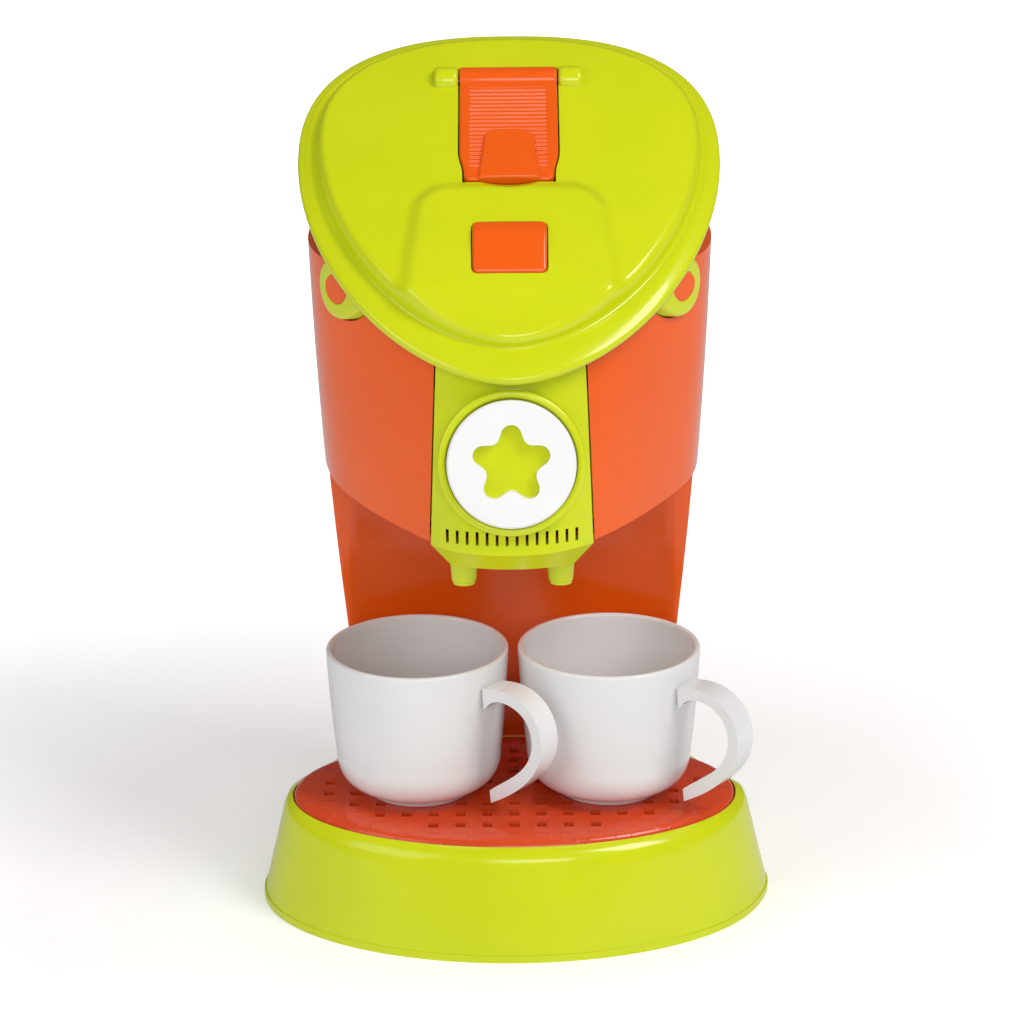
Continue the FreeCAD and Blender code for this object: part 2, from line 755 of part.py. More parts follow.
def star(name, place):
    # a star whose round tips and round inner corners are arcs joined by tangent lines
    step = math.pi / size.star_points
    tip, notch = size.star_tip, size.star_corner
    arcs = []
    for number in range(int(size.star_points) * 2):
        turn = math.pi / 2 + number * step
        outward = number % 2 == 0
        radius = tip if outward else notch
        reach = size.star_radius - tip if outward else size.star_notch + notch
        arcs.append((Vector(reach * math.cos(turn), reach * math.sin(turn), 0), radius, outward,
                     turn))
    ends = []
    for (centre, radius, outward, turn), (after, next_radius, _, _) in zip(arcs,
                                                                       arcs[1:] + arcs[:1]):
        # the inner tangent of the two circles leaves both of them along the same normal
        across = after.sub(centre)
        lean = math.acos((radius + next_radius) / across.Length)
        heading = math.atan2(across.y, across.x) + (-lean if outward else lean)
        normal = Vector(math.cos(heading), math.sin(heading), 0)
        ends.append((centre.add(normal * radius), after.sub(normal * next_radius)))
    edges = []
    for number, (centre, radius, outward, turn) in enumerate(arcs):
        start, stop = ends[number - 1][1], ends[number][0]
        away = Vector(math.cos(turn), math.sin(turn), 0) * (radius if outward else -radius)
        edges.append(Part.Arc(start, centre.add(away), stop).toShape())
        edges.append(Part.makeLine(stop, ends[number][1]))
    ring = doc.addObject("Part::Feature", name)
    ring.Shape = Part.Wire(edges)
    ring.Placement = place
    return ring


def build_dial():
    floor = size.ring_floor + 0.3
    disc = cylinder("dial_disc", "dial_radius", "dial_thickness",
                    at(z=floor + size.hub_thickness, frame=dial_frame))
    edge = rounded("dial_edge", disc, 0.6, lambda edge: True, "Part::Chamfer")
    hole = extrude("dial_star", star("star_outline", at(z=floor, frame=dial_frame)), "20")
    keep("star_dial", cut("star_dial", edge, hole))
    plate = cylinder("hub_plate", "dial_radius - 1", "hub_thickness",
                     at(z=floor, frame=dial_frame))
    shaft = cylinder("hub_shaft", "shaft_radius", "shaft_length",
                     at(z=floor - size.shaft_length, frame=dial_frame))
    groove = cut("clip_groove",
                 cylinder("groove_outer", "shaft_radius + 1", "clip_thickness",
                          at(z=floor - 9, frame=dial_frame)),
                 cylinder("groove_inner", "shaft_radius - 0.8", "clip_thickness",
                          at(z=floor - 9, frame=dial_frame)))
    keep("dial_hub", cut("dial_hub", fuse("hub_body", plate, shaft), groove))
    keep("dial_clip", cut("dial_clip",
                          cylinder("clip_disc", "clip_radius", "clip_thickness",
                                   at(z=floor - 9, frame=dial_frame)),
                          cylinder("clip_hole", "shaft_radius - 0.8", "clip_thickness",
                                   at(z=floor - 9, frame=dial_frame)),
                          box("clip_slot", "2 * shaft_radius - 1.8", "20", "clip_thickness",
                              at(1 - size.shaft_radius + 0.1 - 0.2, 0, floor - 9, dial_frame))))


def build_tap():
    # a plug valve behind the panel: the dial's shaft turns its core
    back = -size.tap_length - 12
    body = cylinder("tap_barrel", "tap_radius", "tap_length", at(z=back, frame=dial_frame))
    foot_y = size.spout_place
    foot = common("tap_foot", box("tap_foot_block", "12", "12", "30", at(-6, foot_y - 6, 130)),
                  above("tap_foot_floor", floor_frame, -size.wall))
    foot_top = cut("tap_foot_top", foot,
                   box("tap_foot_limit", "60", "60", "60", at(-30, -60, 160)))
    pipe_down = cylinder("tap_outlet", "pipe_radius", "20",
                         at(0, foot_y, size.bay_ceiling + foot_y * slope + 0.6))
    inlet = cylinder("tap_inlet", "pipe_radius", "tank_front + 22",
                     at(0, foot_y, 160, turn=Rotation(Vector(1, 0, 0), -90)))
    bore_down = cylinder("tap_bore_down", "water_bore", "40", at(0, foot_y, 120))
    bore_in = cylinder("tap_bore_in", "water_bore", "40",
                       at(0, foot_y, 160, turn=Rotation(Vector(1, 0, 0), -90)))
    core_room = cylinder("tap_core_room", "core_radius + running_gap", "tap_length - 1",
                         at(z=back + 1, frame=dial_frame))
    keep("tap_body", cut("tap_body", fuse("tap_solid", body, foot_top, pipe_down, inlet),
                         core_room, bore_down, bore_in))
    core = cylinder("core_barrel", "core_radius", "tap_length - 1.1",
                    at(z=back + 1.1, frame=dial_frame))
    socket = cylinder("core_socket", "shaft_radius", "10",
                      at(z=size.ring_floor + 0.3 - size.shaft_length, frame=dial_frame))
    keep("tap_core", cut("tap_core", core, socket,
                         cylinder("core_bore_down", "water_bore", "30", at(0, foot_y, 130)),
                         cylinder("core_bore_in", "water_bore", "30",
                                  at(0, foot_y, 160, turn=Rotation(Vector(1, 0, 0), -90)))))


def build_tank():
    # an open water tank on the head's floor, its front wall plugged onto the tap's inlet
    outer = box("tank_block", "2 * tank_half_width", "tank_rear - tank_front", "tank_height",
                at(-size.tank_half_width, size.tank_front, size.wall, floor_frame))
    corners = rounded("tank_rounded", outer, 7.0,
                      lambda edge: abs(edge.Length - size.tank_height) < 0.01)
    inner = box("tank_room", "2 * tank_half_width - 2 * tank_wall",
                "tank_rear - tank_front - 2 * tank_wall", "tank_height",
                at(size.tank_wall - size.tank_half_width, size.tank_front + size.tank_wall,
                   size.wall + size.tank_wall, floor_frame))
    room = rounded("tank_room_rounded", inner, 5.0,
                   lambda edge: abs(edge.Length - size.tank_height) < 0.01)
    hole = cylinder("tank_outlet", "pipe_radius + running_gap", "30",
                    at(0, size.spout_place, 160, turn=Rotation(Vector(1, 0, 0), -90)))
    keep("water_tank", cut("water_tank", corners, room, hole))


def circle(name, radius, place):
    ring = bind(doc.addObject("Part::Circle", name), Radius=radius)
    ring.Placement = place
    return ring


def cup_form(name, spread, low, high):
    # a soft bowl turned about its axis: narrow at the foot, an arc up to the belly and a
    # second, flatter arc up to the rim
    foot = size.cup_foot_radius + 1.6 + spread
    belly = size.cup_belly_radius + spread
    rim = size.cup_rim_radius + spread
    turn_low = Vector(foot + 0.72 * (belly - foot), 0, low + 0.22 * (size.cup_belly_height - low))
    turn_high = Vector(belly + 0.62 * (rim - belly), 0,
                       size.cup_belly_height + 0.5 * (high - size.cup_belly_height))
    middle = Vector(belly, 0, size.cup_belly_height)
    lower = Part.Arc(Vector(foot, 0, low), turn_low, middle).toShape()
    upper = Part.Arc(middle, turn_high, Vector(rim, 0, high)).toShape()
    points = [Vector(0, 0, low)] + lower.discretize(4) + upper.discretize(3)[1:]
    profile = closed(name + "_profile", points + [Vector(0, 0, high)], at())
    solid = doc.addObject("Part::Revolution", name)
    solid.Source = profile
    solid.Axis = Vector(0, 0, 1)
    solid.Angle = 360
    solid.Solid = True
    return solid


def build_cups():
    for side, label in ((-1, "left"), (1, "right")):
        stand = at(side * size.cup_spacing / 2, size.cup_place, tray_top,
                   turn=Rotation(Vector(0, 0, 1), size.handle_angle))
        body = cup_form("cup_outer_" + label, 0, size.cup_foot_height, size.cup_height)
        foot = cylinder("cup_foot_" + label, "cup_foot_radius", "cup_foot_height + 1", at())
        hollow = cup_form("cup_inner_" + label, -size.cup_wall,
                          size.cup_floor + size.cup_foot_height, size.cup_height + 0.5)
        ring = cylinder("cup_foot_ring_" + label, "cup_foot_radius - 2.4", "1.6", at())
        lug = box("cup_lug_" + label, "9", "handle_width - 2.4", "6",
                  at(size.cup_rim_radius - 5, 1.2 - size.handle_width / 2, size.cup_height - 13))
        mug = cut("cup_mug_" + label,
                  fuse("cup_solid_" + label, body, foot, lug), hollow, ring)
        mug.Placement = stand
        keep("cup_" + label, mug)

        # the handle is one bent strap: a cap over the lug, a wide bow and a flat tongue below
        reach = size.handle_reach
        outer = [(30.3, 43.6), (36.0, 44.6), (44.0, 43.6), (50.6, 39.0), (reach, 31.0),
                 (52.6, 22.0), (47.0, 14.0), (39.5, 8.0), (33.5, 4.4)]
        inner = [(33.0, 8.6), (38.2, 12.6), (44.6, 17.6), (49.0, 23.4), (50.2, 31.0),
                 (47.6, 36.8), (42.6, 40.0), (36.0, 40.4), (30.9, 36.0)]
        run_out = Part.BSplineCurve()
        run_out.interpolate([Vector(r, 0, z) for r, z in outer])
        run_in = Part.BSplineCurve()
        run_in.interpolate([Vector(r, 0, z) for r, z in inner])
        wire = Part.Wire([run_out.toShape(),
                          Part.makeLine(Vector(outer[-1][0], 0, outer[-1][1]),
                                        Vector(inner[0][0], 0, inner[0][1])),
                          run_in.toShape(),
                          Part.makeLine(Vector(inner[-1][0], 0, inner[-1][1]),
                                        Vector(outer[0][0], 0, outer[0][1]))])
        ring = doc.addObject("Part::Feature", "handle_profile_" + label)
        ring.Shape = wire
        strap = doc.addObject("Part::Extrusion", "handle_strap_" + label)
        strap.Base = ring
        strap.Dir = Vector(0, 1, 0)
        strap.DirMode = "Custom"
        strap.Solid = True
        strap.Symmetric = True
        bind(strap, LengthFwd="handle_width")
        pocket = box("handle_pocket_" + label, "20", "handle_width - 2.4 + 0.1", "6.1",
                     at(size.cup_rim_radius - 11, 1.15 - size.handle_width / 2,
                        size.cup_height - 13.05))
        clear_cup = cup_form("handle_clear_" + label, 0.05, size.cup_foot_height,
                             size.cup_height)
        handle = cut("handle_" + label, strap, clear_cup, pocket)
        handle.Placement = stand
        keep("cup_handle_" + label, handle)


def lid_ring(name, inset, height):
    return egg(name, size.lid_half_width - inset, size.lid_front - inset, size.lid_rear - inset,
               size.lid_nose_power, size.lid_tail_power, at(z=height, frame=lid_frame))


def dome_ring(name, inset, height, hidden=False):
    return egg(name, size.dome_half_width - inset, size.dome_front + size.dome_centre - inset,
               size.dome_rear - size.dome_centre - inset, size.lid_nose_power,
               size.lid_tail_power, at(y=size.dome_centre, z=height, frame=lid_frame), hidden)


def dome_ball(name, rise):
    ball = bind(doc.addObject("Part::Sphere", name), Radius="dome_radius + %s" % rise)
    ball.Placement = at(y=size.dome_peak, z=size.dome_height - size.dome_radius, frame=lid_frame)
    return ball


def lid_roller(name, rise):
    # the dome's front-to-back curve carried straight across, for the flap's flat-sided parts
    return cylinder(name, "dome_radius + %s" % rise, "2 * flap_width",
                    at(-size.flap_width, size.dome_peak, size.dome_height - size.dome_radius,
                       lid_frame, along_x))


def lid_box(name, half_width, front, rear, low, high):
    return box(name, "%s" % (2 * half_width), "%s" % (rear - front), "%s" % (high - low),
               at(-half_width, front, low, lid_frame))


def build_lid():
    edge = extrude("lid_edge", lid_ring("lid_edge_ring", 0, 0), "lid_edge")
    brim = loft("lid_brim", lid_ring("brim_foot", 1.0, size.lid_edge - 0.01),
                dome_ring("brim_top", -0.4, size.lid_edge + size.brim_rise))
    dome = common("lid_dome", loft("dome_wall", dome_ring("dome_foot", 0, size.lid_edge - 1),
                                   dome_ring("dome_top", size.dome_draft, 24)),
                  dome_ball("dome_ball", 0))

    # the raised field that carries the button fades into the dome at its upper end
    corners = [Vector(-size.mound_half_width, size.mound_rear, 0),
               Vector(size.mound_half_width, size.mound_rear, 0),
               Vector(size.mound_half_width + 5.2, size.mound_front, 0),
               Vector(-size.mound_half_width - 5.2, size.mound_front, 0)]
    field = doc.addObject("Part::Feature", "mound_field")
    field.Shape = Part.Face(Part.makePolygon(corners + corners[:1])).extrude(Vector(0, 0, 30))
    field.Placement = at(frame=lid_frame)
    mound = common("mound", rounded("mound_corners", field, 7.0,
                                    lambda edge: abs(edge.Length - 30) < 0.01),
                   dome_ball("mound_ball", size.mound_height),
                   loft("mound_wall", dome_ring("mound_foot", 1.0, 3),
                        dome_ring("mound_top", 3.0, 24)))

    # the two lugs of the flap's hinge
    lugs = []
    for side in (-1, 1):
        inner = size.flap_width / 2 + size.lug_gap - 0.2
        start = min(side * inner, side * (inner + size.lug_width))
        lugs.append(cylinder("lug_%d" % (side + 2), "flap_barrel_radius + 0.4", "lug_width",
                             at(start, size.flap_pin_place, size.flap_pin_rise, lid_frame,
                                along_x)))
        lugs.append(box("lug_foot_%d" % (side + 2), "lug_width", "2 * flap_barrel_radius + 0.8",
                        "flap_pin_rise - 7",
                        at(start, size.flap_pin_place - size.flap_barrel_radius - 0.4, 7,
                           lid_frame)))
    body = fuse("lid_solid", edge, brim, dome, mound, *lugs)

    # ears reach down over the pins
    ears = common("ears_in", housing_form("ear_limit", size.ear_proud),
                  fuse("ears", *across_both("ear", "ear_radius", size.ear_inner)),
                  box("ears_top", "400", "400", "200", at(-200, -200, 1.5 - 200, lid_frame)))

    # the hollow under the dome, with a flat frame left standing round the button's hole
    hollow = common("lid_hollow", loft("hollow_wall", dome_ring("hollow_foot", 3.0, -1, True),
                                       dome_ring("hollow_top", 4.6, 24, True)),
                    dome_ball("hollow_ball", -size.lid_wall))
    frame = lid_box("button_frame_pad", size.button_width / 2 + 4,
                          size.button_front - 4, size.button_rear + 4, size.button_frame, 20)
    lug_pads = [lid_box("flap_pad", size.flap_width / 2 + 3, size.flap_front - 3,
                              size.flap_rear + 11, size.flap_floor - size.lid_wall, 20)]
    room = cut("lid_room", hollow, frame, *lug_pads)
    button_hole = lid_box("button_hole", size.button_width / 2 + size.button_gap,
                                size.button_front - size.button_gap,
                                size.button_rear + size.button_gap, -1, 40)
    flap_seat = lid_box("flap_seat", size.flap_width / 2 + size.lug_gap - 0.1,
                              size.flap_front - 0.4, size.flap_pin_place, size.flap_floor, 40)
    barrel_room = cylinder("barrel_room", "flap_barrel_radius + 0.4",
                           "flap_width + 2 * lug_gap - 0.4",
                           at(-size.flap_width / 2 - size.lug_gap + 0.2, size.flap_pin_place,
                              size.flap_pin_rise, lid_frame, along_x))
    flap_hole = lid_box("flap_hole", size.flap_hole_width / 2, size.flap_hole_front,
                              size.flap_hole_rear, -1, 40)
    pin_bore = cylinder("flap_pin_bore", "flap_pin_radius", "2 * flap_pin_half",
                        at(-size.flap_pin_half, size.flap_pin_place, size.flap_pin_rise,
                           lid_frame, along_x))
    scoop = bind(doc.addObject("Part::Sphere", "finger_scoop"), Radius="scoop_radius")
    scoop.Placement = at(y=size.flap_front - 1,
                         z=size.dome_height + size.scoop_radius - size.scoop_depth,
                         frame=lid_frame)
    keep("lid_shell", cut("lid_shell", fuse("lid_with_ears", body, ears), room, button_hole,
                          flap_seat, barrel_room, flap_hole, pin_bore, scoop,
                          *across_both("ear_pin_hole", "pin_radius", size.ear_inner - 1, 40)))


def swing_room(name, inset):
    # the widest body that can turn about the lid's pivot inside the rear cover
    points = []
    for step in range(-7, 8):
        turn = math.pi / 2 * step / 8
        reach = size.swing_depth * math.cos(turn) ** (2 / size.tail_power)
        across = math.copysign(abs(math.sin(turn)) ** (2 / size.tail_power), turn)
        points.append(Vector((size.swing_half_width - inset) * across,
                             size.housing_centre - size.pin_place + reach - inset, 0))
    points = [Vector(points[0].x, 0, 0)] + points + [Vector(points[-1].x, 0, 0)]
    room = doc.addObject("Part::Revolution", name)
    room.Source = closed(name + "_profile", points, at())
    room.Axis = Vector(1, 0, 0)
    room.Angle = 360
    room.Solid = True
    room.Placement = at(y=size.pin_place, z=size.pin_height)
    return room


def build_liner():
    # a plate closes the lid from below; its skirt dips into the housing when the lid tilts
    plate = extrude("liner_plate", dome_ring("liner_plate_ring", 3.6, 0, True), "liner_wall")
    skirt_outer = extrude("skirt_outer", skirt_ring("skirt_outer_ring", 0), "60")
    skirt_inner = extrude("skirt_inner", skirt_ring("skirt_inner_ring", size.liner_wall), "60")
    reach = swing_room("skirt_reach", 0)
    reach_inner = swing_room("skirt_reach_inner", size.liner_wall)
    foot = above("skirt_foot", open_frame, size.liner_overlap)
    skirt = common("skirt", cut("skirt_walls", common("skirt_block", skirt_outer, reach),
                                common("skirt_room", skirt_inner, reach_inner)),
                   foot, box("skirt_rear", "400", "400", "200",
                             at(-200, size.liner_start, -200, lid_frame)))
    fill = lid_box("liner_hole", size.flap_hole_width / 2, size.flap_hole_front,
                         size.flap_hole_rear, -10, 10)
    spring_cup = cut("spring_cup",
                     cylinder("spring_cup_outer", "spring_radius + spring_wire + 1.2",
                              "liner_wall + 1.6", at(y=button_centre, frame=lid_frame)),
                     cylinder("spring_cup_inner", "spring_radius + spring_wire + 0.3", "4",
                              at(y=button_centre, z=size.liner_wall, frame=lid_frame)))
    keep("lid_liner", cut("lid_liner", fuse("liner_body", plate, skirt, spring_cup), fill,
                          *across_both("liner_clear", "ear_radius + 3.7",
                                       size.pin_inner - 0.5, 60)))
    for side, label in ((-1, "left"), (1, "right")):
        start = side * size.pin_inner
        pin = common("pin_in_" + label, housing_form("pin_limit_" + label, size.ear_proud),
                     cylinder("pin_" + label, "pin_radius", "30",
                              at(min(start, start + side * 30), size.pin_place,
                                 size.pin_height, turn=along_x)))
        keep("hinge_pin_" + label, pin)


def skirt_ring(name, inset):
    return egg(name, size.liner_half_width - inset, size.liner_front - inset,
               size.lid_rear - inset, size.lid_nose_power, size.tail_power,
               at(z=-58, frame=lid_frame), True)


button_centre = (size.button_rear + size.button_front) / 2


def build_flap():
    plate = common("flap_plate",
                   lid_box("flap_block", size.flap_width / 2, size.flap_front,
                                 size.flap_pin_place, size.flap_floor + 0.1, 40),
                   lid_roller("flap_roller", 1.0))
    soft = rounded("flap_corners", plate, 2.4,
                   lambda edge: edge.Length < 6 and lid_place(edge)[1] < size.flap_front + 0.1)
    barrel = cylinder("flap_barrel", "flap_barrel_radius", "flap_width",
                      at(-size.flap_width / 2, size.flap_pin_place, size.flap_pin_rise,
                         lid_frame, along_x))
    ribs = []
    count = int(size.rib_count)
    pitch = (size.rib_rear - size.rib_front) / count
    for number in range(count):
        middle = size.rib_front + (number + 0.5) * pitch
        drop = (middle - size.dome_peak) ** 2 / (2 * size.dome_radius)
        ribs.append(box("rib_%d" % number, "rib_width", "%s" % (pitch / 2),
                        "dome_height + 1 + rib_height - flap_floor - 1 - %s" % drop,
                        at(-size.rib_width / 2, middle - pitch / 4, size.flap_floor + 1,
                           lid_frame)))
    rib_field = fuse("ribs", *ribs)
    tab_corners = [Vector(-10, size.flap_front, 0), Vector(10, size.flap_front, 0),
                   Vector(7.8, 0, 0), Vector(-7.8, 0, 0)]
    tab_form = doc.addObject("Part::Feature", "flap_tab_form")
    tab_form.Shape = Part.Face(Part.makePolygon(tab_corners + tab_corners[:1])
                               ).extrude(Vector(0, 0, 8))
    tab_form.Placement = at(z=size.flap_floor + 0.2, frame=lid_frame)
    tab = common("flap_tab", tab_form, lid_roller("tab_roller", 2.4))
    pin_hole = cylinder("flap_pin_hole", "flap_pin_radius + running_gap", "flap_width + 2",
                        at(-size.flap_width / 2 - 1, size.flap_pin_place, size.flap_pin_rise,
                           lid_frame, along_x))
    keep("flap", cut("flap", fuse("flap_body", soft, barrel, rib_field, tab), pin_hole))
    keep("flap_pin", cylinder("flap_pin", "flap_pin_radius", "2 * flap_pin_half",
                              at(-size.flap_pin_half, size.flap_pin_place, size.flap_pin_rise,
                                 lid_frame, along_x)))


def lid_place(edge):
    return lid_frame.inverse().multVec(edge.CenterOfMass)


def build_button():
    # a long sloping face runs forward from a raised ridge; a flange below holds it in the lid
    profile = [(size.button_rear, size.button_frame - 1), (size.button_rear, 15.6),
               (size.button_rear - 5.2, 18.2), (size.button_front, 14.0),
               (size.button_front, size.button_frame - 1)]
    points = [Vector(0, v, n) for v, n in profile]
    side = doc.addObject("Part::Feature", "button_side")
    side.Shape = Part.Face(Part.makePolygon(points + points[:1]))
    side.Placement = lid_frame
    body = doc.addObject("Part::Extrusion", "button_body")
    body.Base = side
    body.Dir = Vector(1, 0, 0)
    body.DirMode = "Custom"
    body.Solid = True
    body.Symmetric = True
    bind(body, LengthFwd="button_width")
    soft = rounded("button_soft", body, 1.0,
                   lambda edge: lid_place(edge)[2] > size.button_frame + 1)
    flange = lid_box("button_flange_plate", size.button_width / 2 + size.button_flange,
                           size.button_front - size.button_flange,
                           size.button_rear + size.button_flange,
                           size.button_frame - size.button_stop, size.button_frame - 0.02)
    pocket = lid_box("button_pocket", size.button_width / 2 - 2, size.button_front + 2,
                           size.button_rear - 2, 0, size.spring_top)
    keep("button", cut("button", fuse("button_solid", soft, flange), pocket))
    coil = doc.addObject("Part::Helix", "spring_path")
    bind(coil, Pitch="(spring_top - liner_wall - spring_wire) / spring_turns",
         Height="spring_top - liner_wall - spring_wire", Radius="spring_radius")
    coil.Placement = at(y=button_centre, z=size.liner_wall + size.spring_wire / 2, frame=lid_frame)
    wire = doc.addObject("Part::RegularPolygon", "spring_section")
    wire.Polygon = 6
    bind(wire, Circumradius="spring_wire / 2")
    wire.Placement = at(size.spring_radius, button_centre,
                        size.liner_wall + size.spring_wire / 2, lid_frame, backwards)
    spring = doc.addObject("Part::Sweep", "button_spring")
    spring.Sections = [wire]
    spring.Spine = coil
    spring.Solid = True
    spring.Frenet = True
    keep("button_spring", spring)


for build in (build_base, build_tray, build_housing, build_panel, build_spouts, build_dial,
              build_tap, build_tank, build_lid, build_liner, build_flap, build_button, build_cups):
    build()
doc.recompute()

for item in doc.Objects:
    if "Invalid" in item.State or "Error" in item.State:
        raise RuntimeError("%s did not build: %s" % (item.Name, item.getStatusString()))
for name, solid in nodes.items():
    if solid.Shape.isNull() or not solid.Shape.isValid() or not solid.Shape.Solids:
        raise RuntimeError("%s has no sound shape" % name)
for name, solid in nodes.items():
    solid.Shape.exportStep("parts/%s.step" % name)
    print(name, len(solid.Shape.Solids), "solids")
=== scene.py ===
# Toy coffee maker dressed over its CAD frame: glossy moulded plastic in lime, orange and white.
import bpy, bmesh, json, math
import numpy as np
from mathutils import Matrix, Vector


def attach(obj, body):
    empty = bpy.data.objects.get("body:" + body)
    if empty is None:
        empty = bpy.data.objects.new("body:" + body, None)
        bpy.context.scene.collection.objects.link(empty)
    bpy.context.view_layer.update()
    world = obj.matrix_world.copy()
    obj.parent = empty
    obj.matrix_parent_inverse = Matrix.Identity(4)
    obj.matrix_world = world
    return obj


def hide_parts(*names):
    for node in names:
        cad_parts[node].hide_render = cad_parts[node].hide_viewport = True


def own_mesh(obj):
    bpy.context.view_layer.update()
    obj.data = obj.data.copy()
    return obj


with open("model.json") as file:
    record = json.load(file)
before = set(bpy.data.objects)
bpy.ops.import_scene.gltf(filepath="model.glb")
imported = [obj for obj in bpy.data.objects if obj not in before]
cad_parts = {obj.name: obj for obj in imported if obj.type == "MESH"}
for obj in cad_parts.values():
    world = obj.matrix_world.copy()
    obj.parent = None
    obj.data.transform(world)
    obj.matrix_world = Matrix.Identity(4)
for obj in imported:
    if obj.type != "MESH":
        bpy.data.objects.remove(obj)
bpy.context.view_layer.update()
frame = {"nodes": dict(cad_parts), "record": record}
bpy.context.scene.view_settings.view_transform = "Standard"
print("frame loaded:", len(frame["nodes"]), "nodes")


# Shader maths: a Wire wraps a socket, so that an expression on wires adds its Math nodes
class Wire:
    def __init__(self, tree, socket):
        self.tree, self.socket = tree, socket

    def math(self, operation, other=None, swapped=False):
        node = self.tree.nodes.new("ShaderNodeMath")
        node.operation = operation
        pair = [self, other] if not swapped else [other, self]
        for slot, value in zip(node.inputs, pair):
            if isinstance(value, Wire):
                self.tree.links.new(value.socket, slot)
            elif value is not None:
                slot.default_value = value
        return Wire(self.tree, node.outputs[0])

    def __add__(self, other): return self.math("ADD", other)
    def __radd__(self, other): return self.math("ADD", other, True)
    def __sub__(self, other): return self.math("SUBTRACT", other)
    def __rsub__(self, other): return self.math("SUBTRACT", other, True)
    def __mul__(self, other): return self.math("MULTIPLY", other)
    def __truediv__(self, other): return self.math("DIVIDE", other)
    def least(self, other): return self.math("MINIMUM", other)
    def most(self, other): return self.math("MAXIMUM", other)


class Finish:
    # one material; node() adds any node from its type, its settings and its inputs
    def __init__(self, name):
        self.material = bpy.data.materials.new(name)
        self.material.use_nodes = True
        self.tree = self.material.node_tree
        self.shader = self.tree.nodes["Principled BSDF"]

    def node(self, kind, settings=None, inputs=None, output=0):
        node = self.tree.nodes.new("ShaderNode" + kind)
        for key, value in (settings or {}).items():
            if key == "stops":
                while len(node.color_ramp.elements) < len(value):
                    node.color_ramp.elements.new(0.5)
                for element, (place, colour) in zip(node.color_ramp.elements, value):
                    element.position, element.color = place, colour
            else:
                setattr(node, key, value)
        for key, value in (inputs or {}).items():
            if isinstance(value, Wire):
                self.tree.links.new(value.socket, node.inputs[key])
            else:
                node.inputs[key].default_value = value
        return Wire(self.tree, node.outputs[output])

    def feed(self, name, value):
        if isinstance(value, Wire):
            self.tree.links.new(value.socket, self.shader.inputs[name])
        else:
            self.shader.inputs[name].default_value = value


# The drain holes' pitch in metres, half a pad as a share of it, and how steep a pad's side is;
# the shifts put a hole's middle at one half and keep the value above zero
padSizes = {"pitch": 0.0088, "half": 0.335, "slope": 14.0, "shiftX": 100.5, "shiftY": 100.0}


def trayPads(finish, place, below):
    # a raised square pad round every drain hole, from the distance to its middle along each axis
    away = []
    for number, shift in enumerate((padSizes["shiftX"], padSizes["shiftY"])):
        along = finish.node("SeparateXYZ", inputs={"Vector": place}, output=number)
        share = (along / padSizes["pitch"] + shift).math("FRACT")
        away.append((share - 0.5).math("ABSOLUTE"))
    pad = ((padSizes["half"] - away[0].most(away[1])) * padSizes["slope"]).most(0.0).least(1.0)
    return finish.node("Bump", inputs={"Height": pad, "Strength": 0.35, "Distance": 0.0005,
                                       "Normal": below})


def mouldedPlastic(name, colour, deep, roughness, pads=False):
    # colour drifts slightly between two shades, gloss varies in soft patches, fine ripple in the skin
    finish = Finish(name)
    place = finish.node("TexCoord", output=3)
    cloud = finish.node("TexNoise", inputs={"Vector": place, "Scale": 22.0, "Detail": 3.0,
                                            "Roughness": 0.55})
    fine = finish.node("TexNoise", inputs={"Vector": place, "Scale": 900.0, "Detail": 2.0})
    ripple = finish.node("TexNoise", inputs={"Vector": place, "Scale": 60.0, "Detail": 1.0})
    tone = finish.node("ValToRGB", settings={"stops": [(0.36, (*deep, 1)), (0.66, (*colour, 1))]},
                       inputs={"Fac": cloud})
    finish.feed("Base Color", tone)
    finish.feed("Roughness", roughness + (cloud - 0.5) * 0.05 + (fine - 0.5) * 0.04)
    bump = finish.node("Bump", inputs={"Height": ripple * 0.6 + fine * 0.4, "Strength": 0.05,
                                       "Distance": 0.00012})
    if pads:
        bump = trayPads(finish, place, bump)
    finish.feed("Normal", bump)
    finish.feed("Coat Weight", 0.25)
    finish.feed("Coat Roughness", 0.06)
    finish.feed("IOR", 1.45)
    return finish.material


# Each plastic's main colour, its slightly deeper shade and its roughness
plasticColours = {
    "lime": ((0.65, 0.725, 0.006), (0.61, 0.69, 0.005), 0.20),
    "limeDeep": ((0.58, 0.67, 0.02), (0.54, 0.63, 0.016), 0.22),
    "orange": ((0.90, 0.118, 0.004), (0.85, 0.106, 0.004), 0.20),
    "trayOrange": ((0.74, 0.070, 0.016), (0.68, 0.062, 0.013), 0.24),
    "white": ((0.82, 0.82, 0.83), (0.79, 0.79, 0.80), 0.22),
    "dialWhite": ((0.92, 0.92, 0.92), (0.89, 0.89, 0.90), 0.24),
    # the flap pin's dark grey is partly painted shade: it is darkened to the shadowed tone of the gap
    # between the flap's barrel and the lug
    "pinGreyAndPaintedShade": ((0.30, 0.31, 0.27), (0.26, 0.27, 0.24), 0.35),
}
finishes = {name: mouldedPlastic(name + "Plastic", *values, pads=name == "trayOrange")
            for name, values in plasticColours.items()}


def plainSteel():
    finish = Finish("screwSteel")
    place = finish.node("TexCoord", output=3)
    marks = finish.node("TexNoise", inputs={"Vector": place, "Scale": 700.0, "Detail": 3.0})
    tone = finish.node("ValToRGB", settings={"stops": [(0.3, (0.42, 0.43, 0.45, 1)),
                                                       (0.7, (0.60, 0.61, 0.63, 1))]},
                       inputs={"Fac": marks})
    finish.feed("Base Color", tone)
    finish.feed("Metallic", 1.0)
    finish.feed("Roughness", 0.28 + marks * 0.15)
    return finish.material


finishes["steel"] = plainSteel()
print("materials ready:", len(finishes))

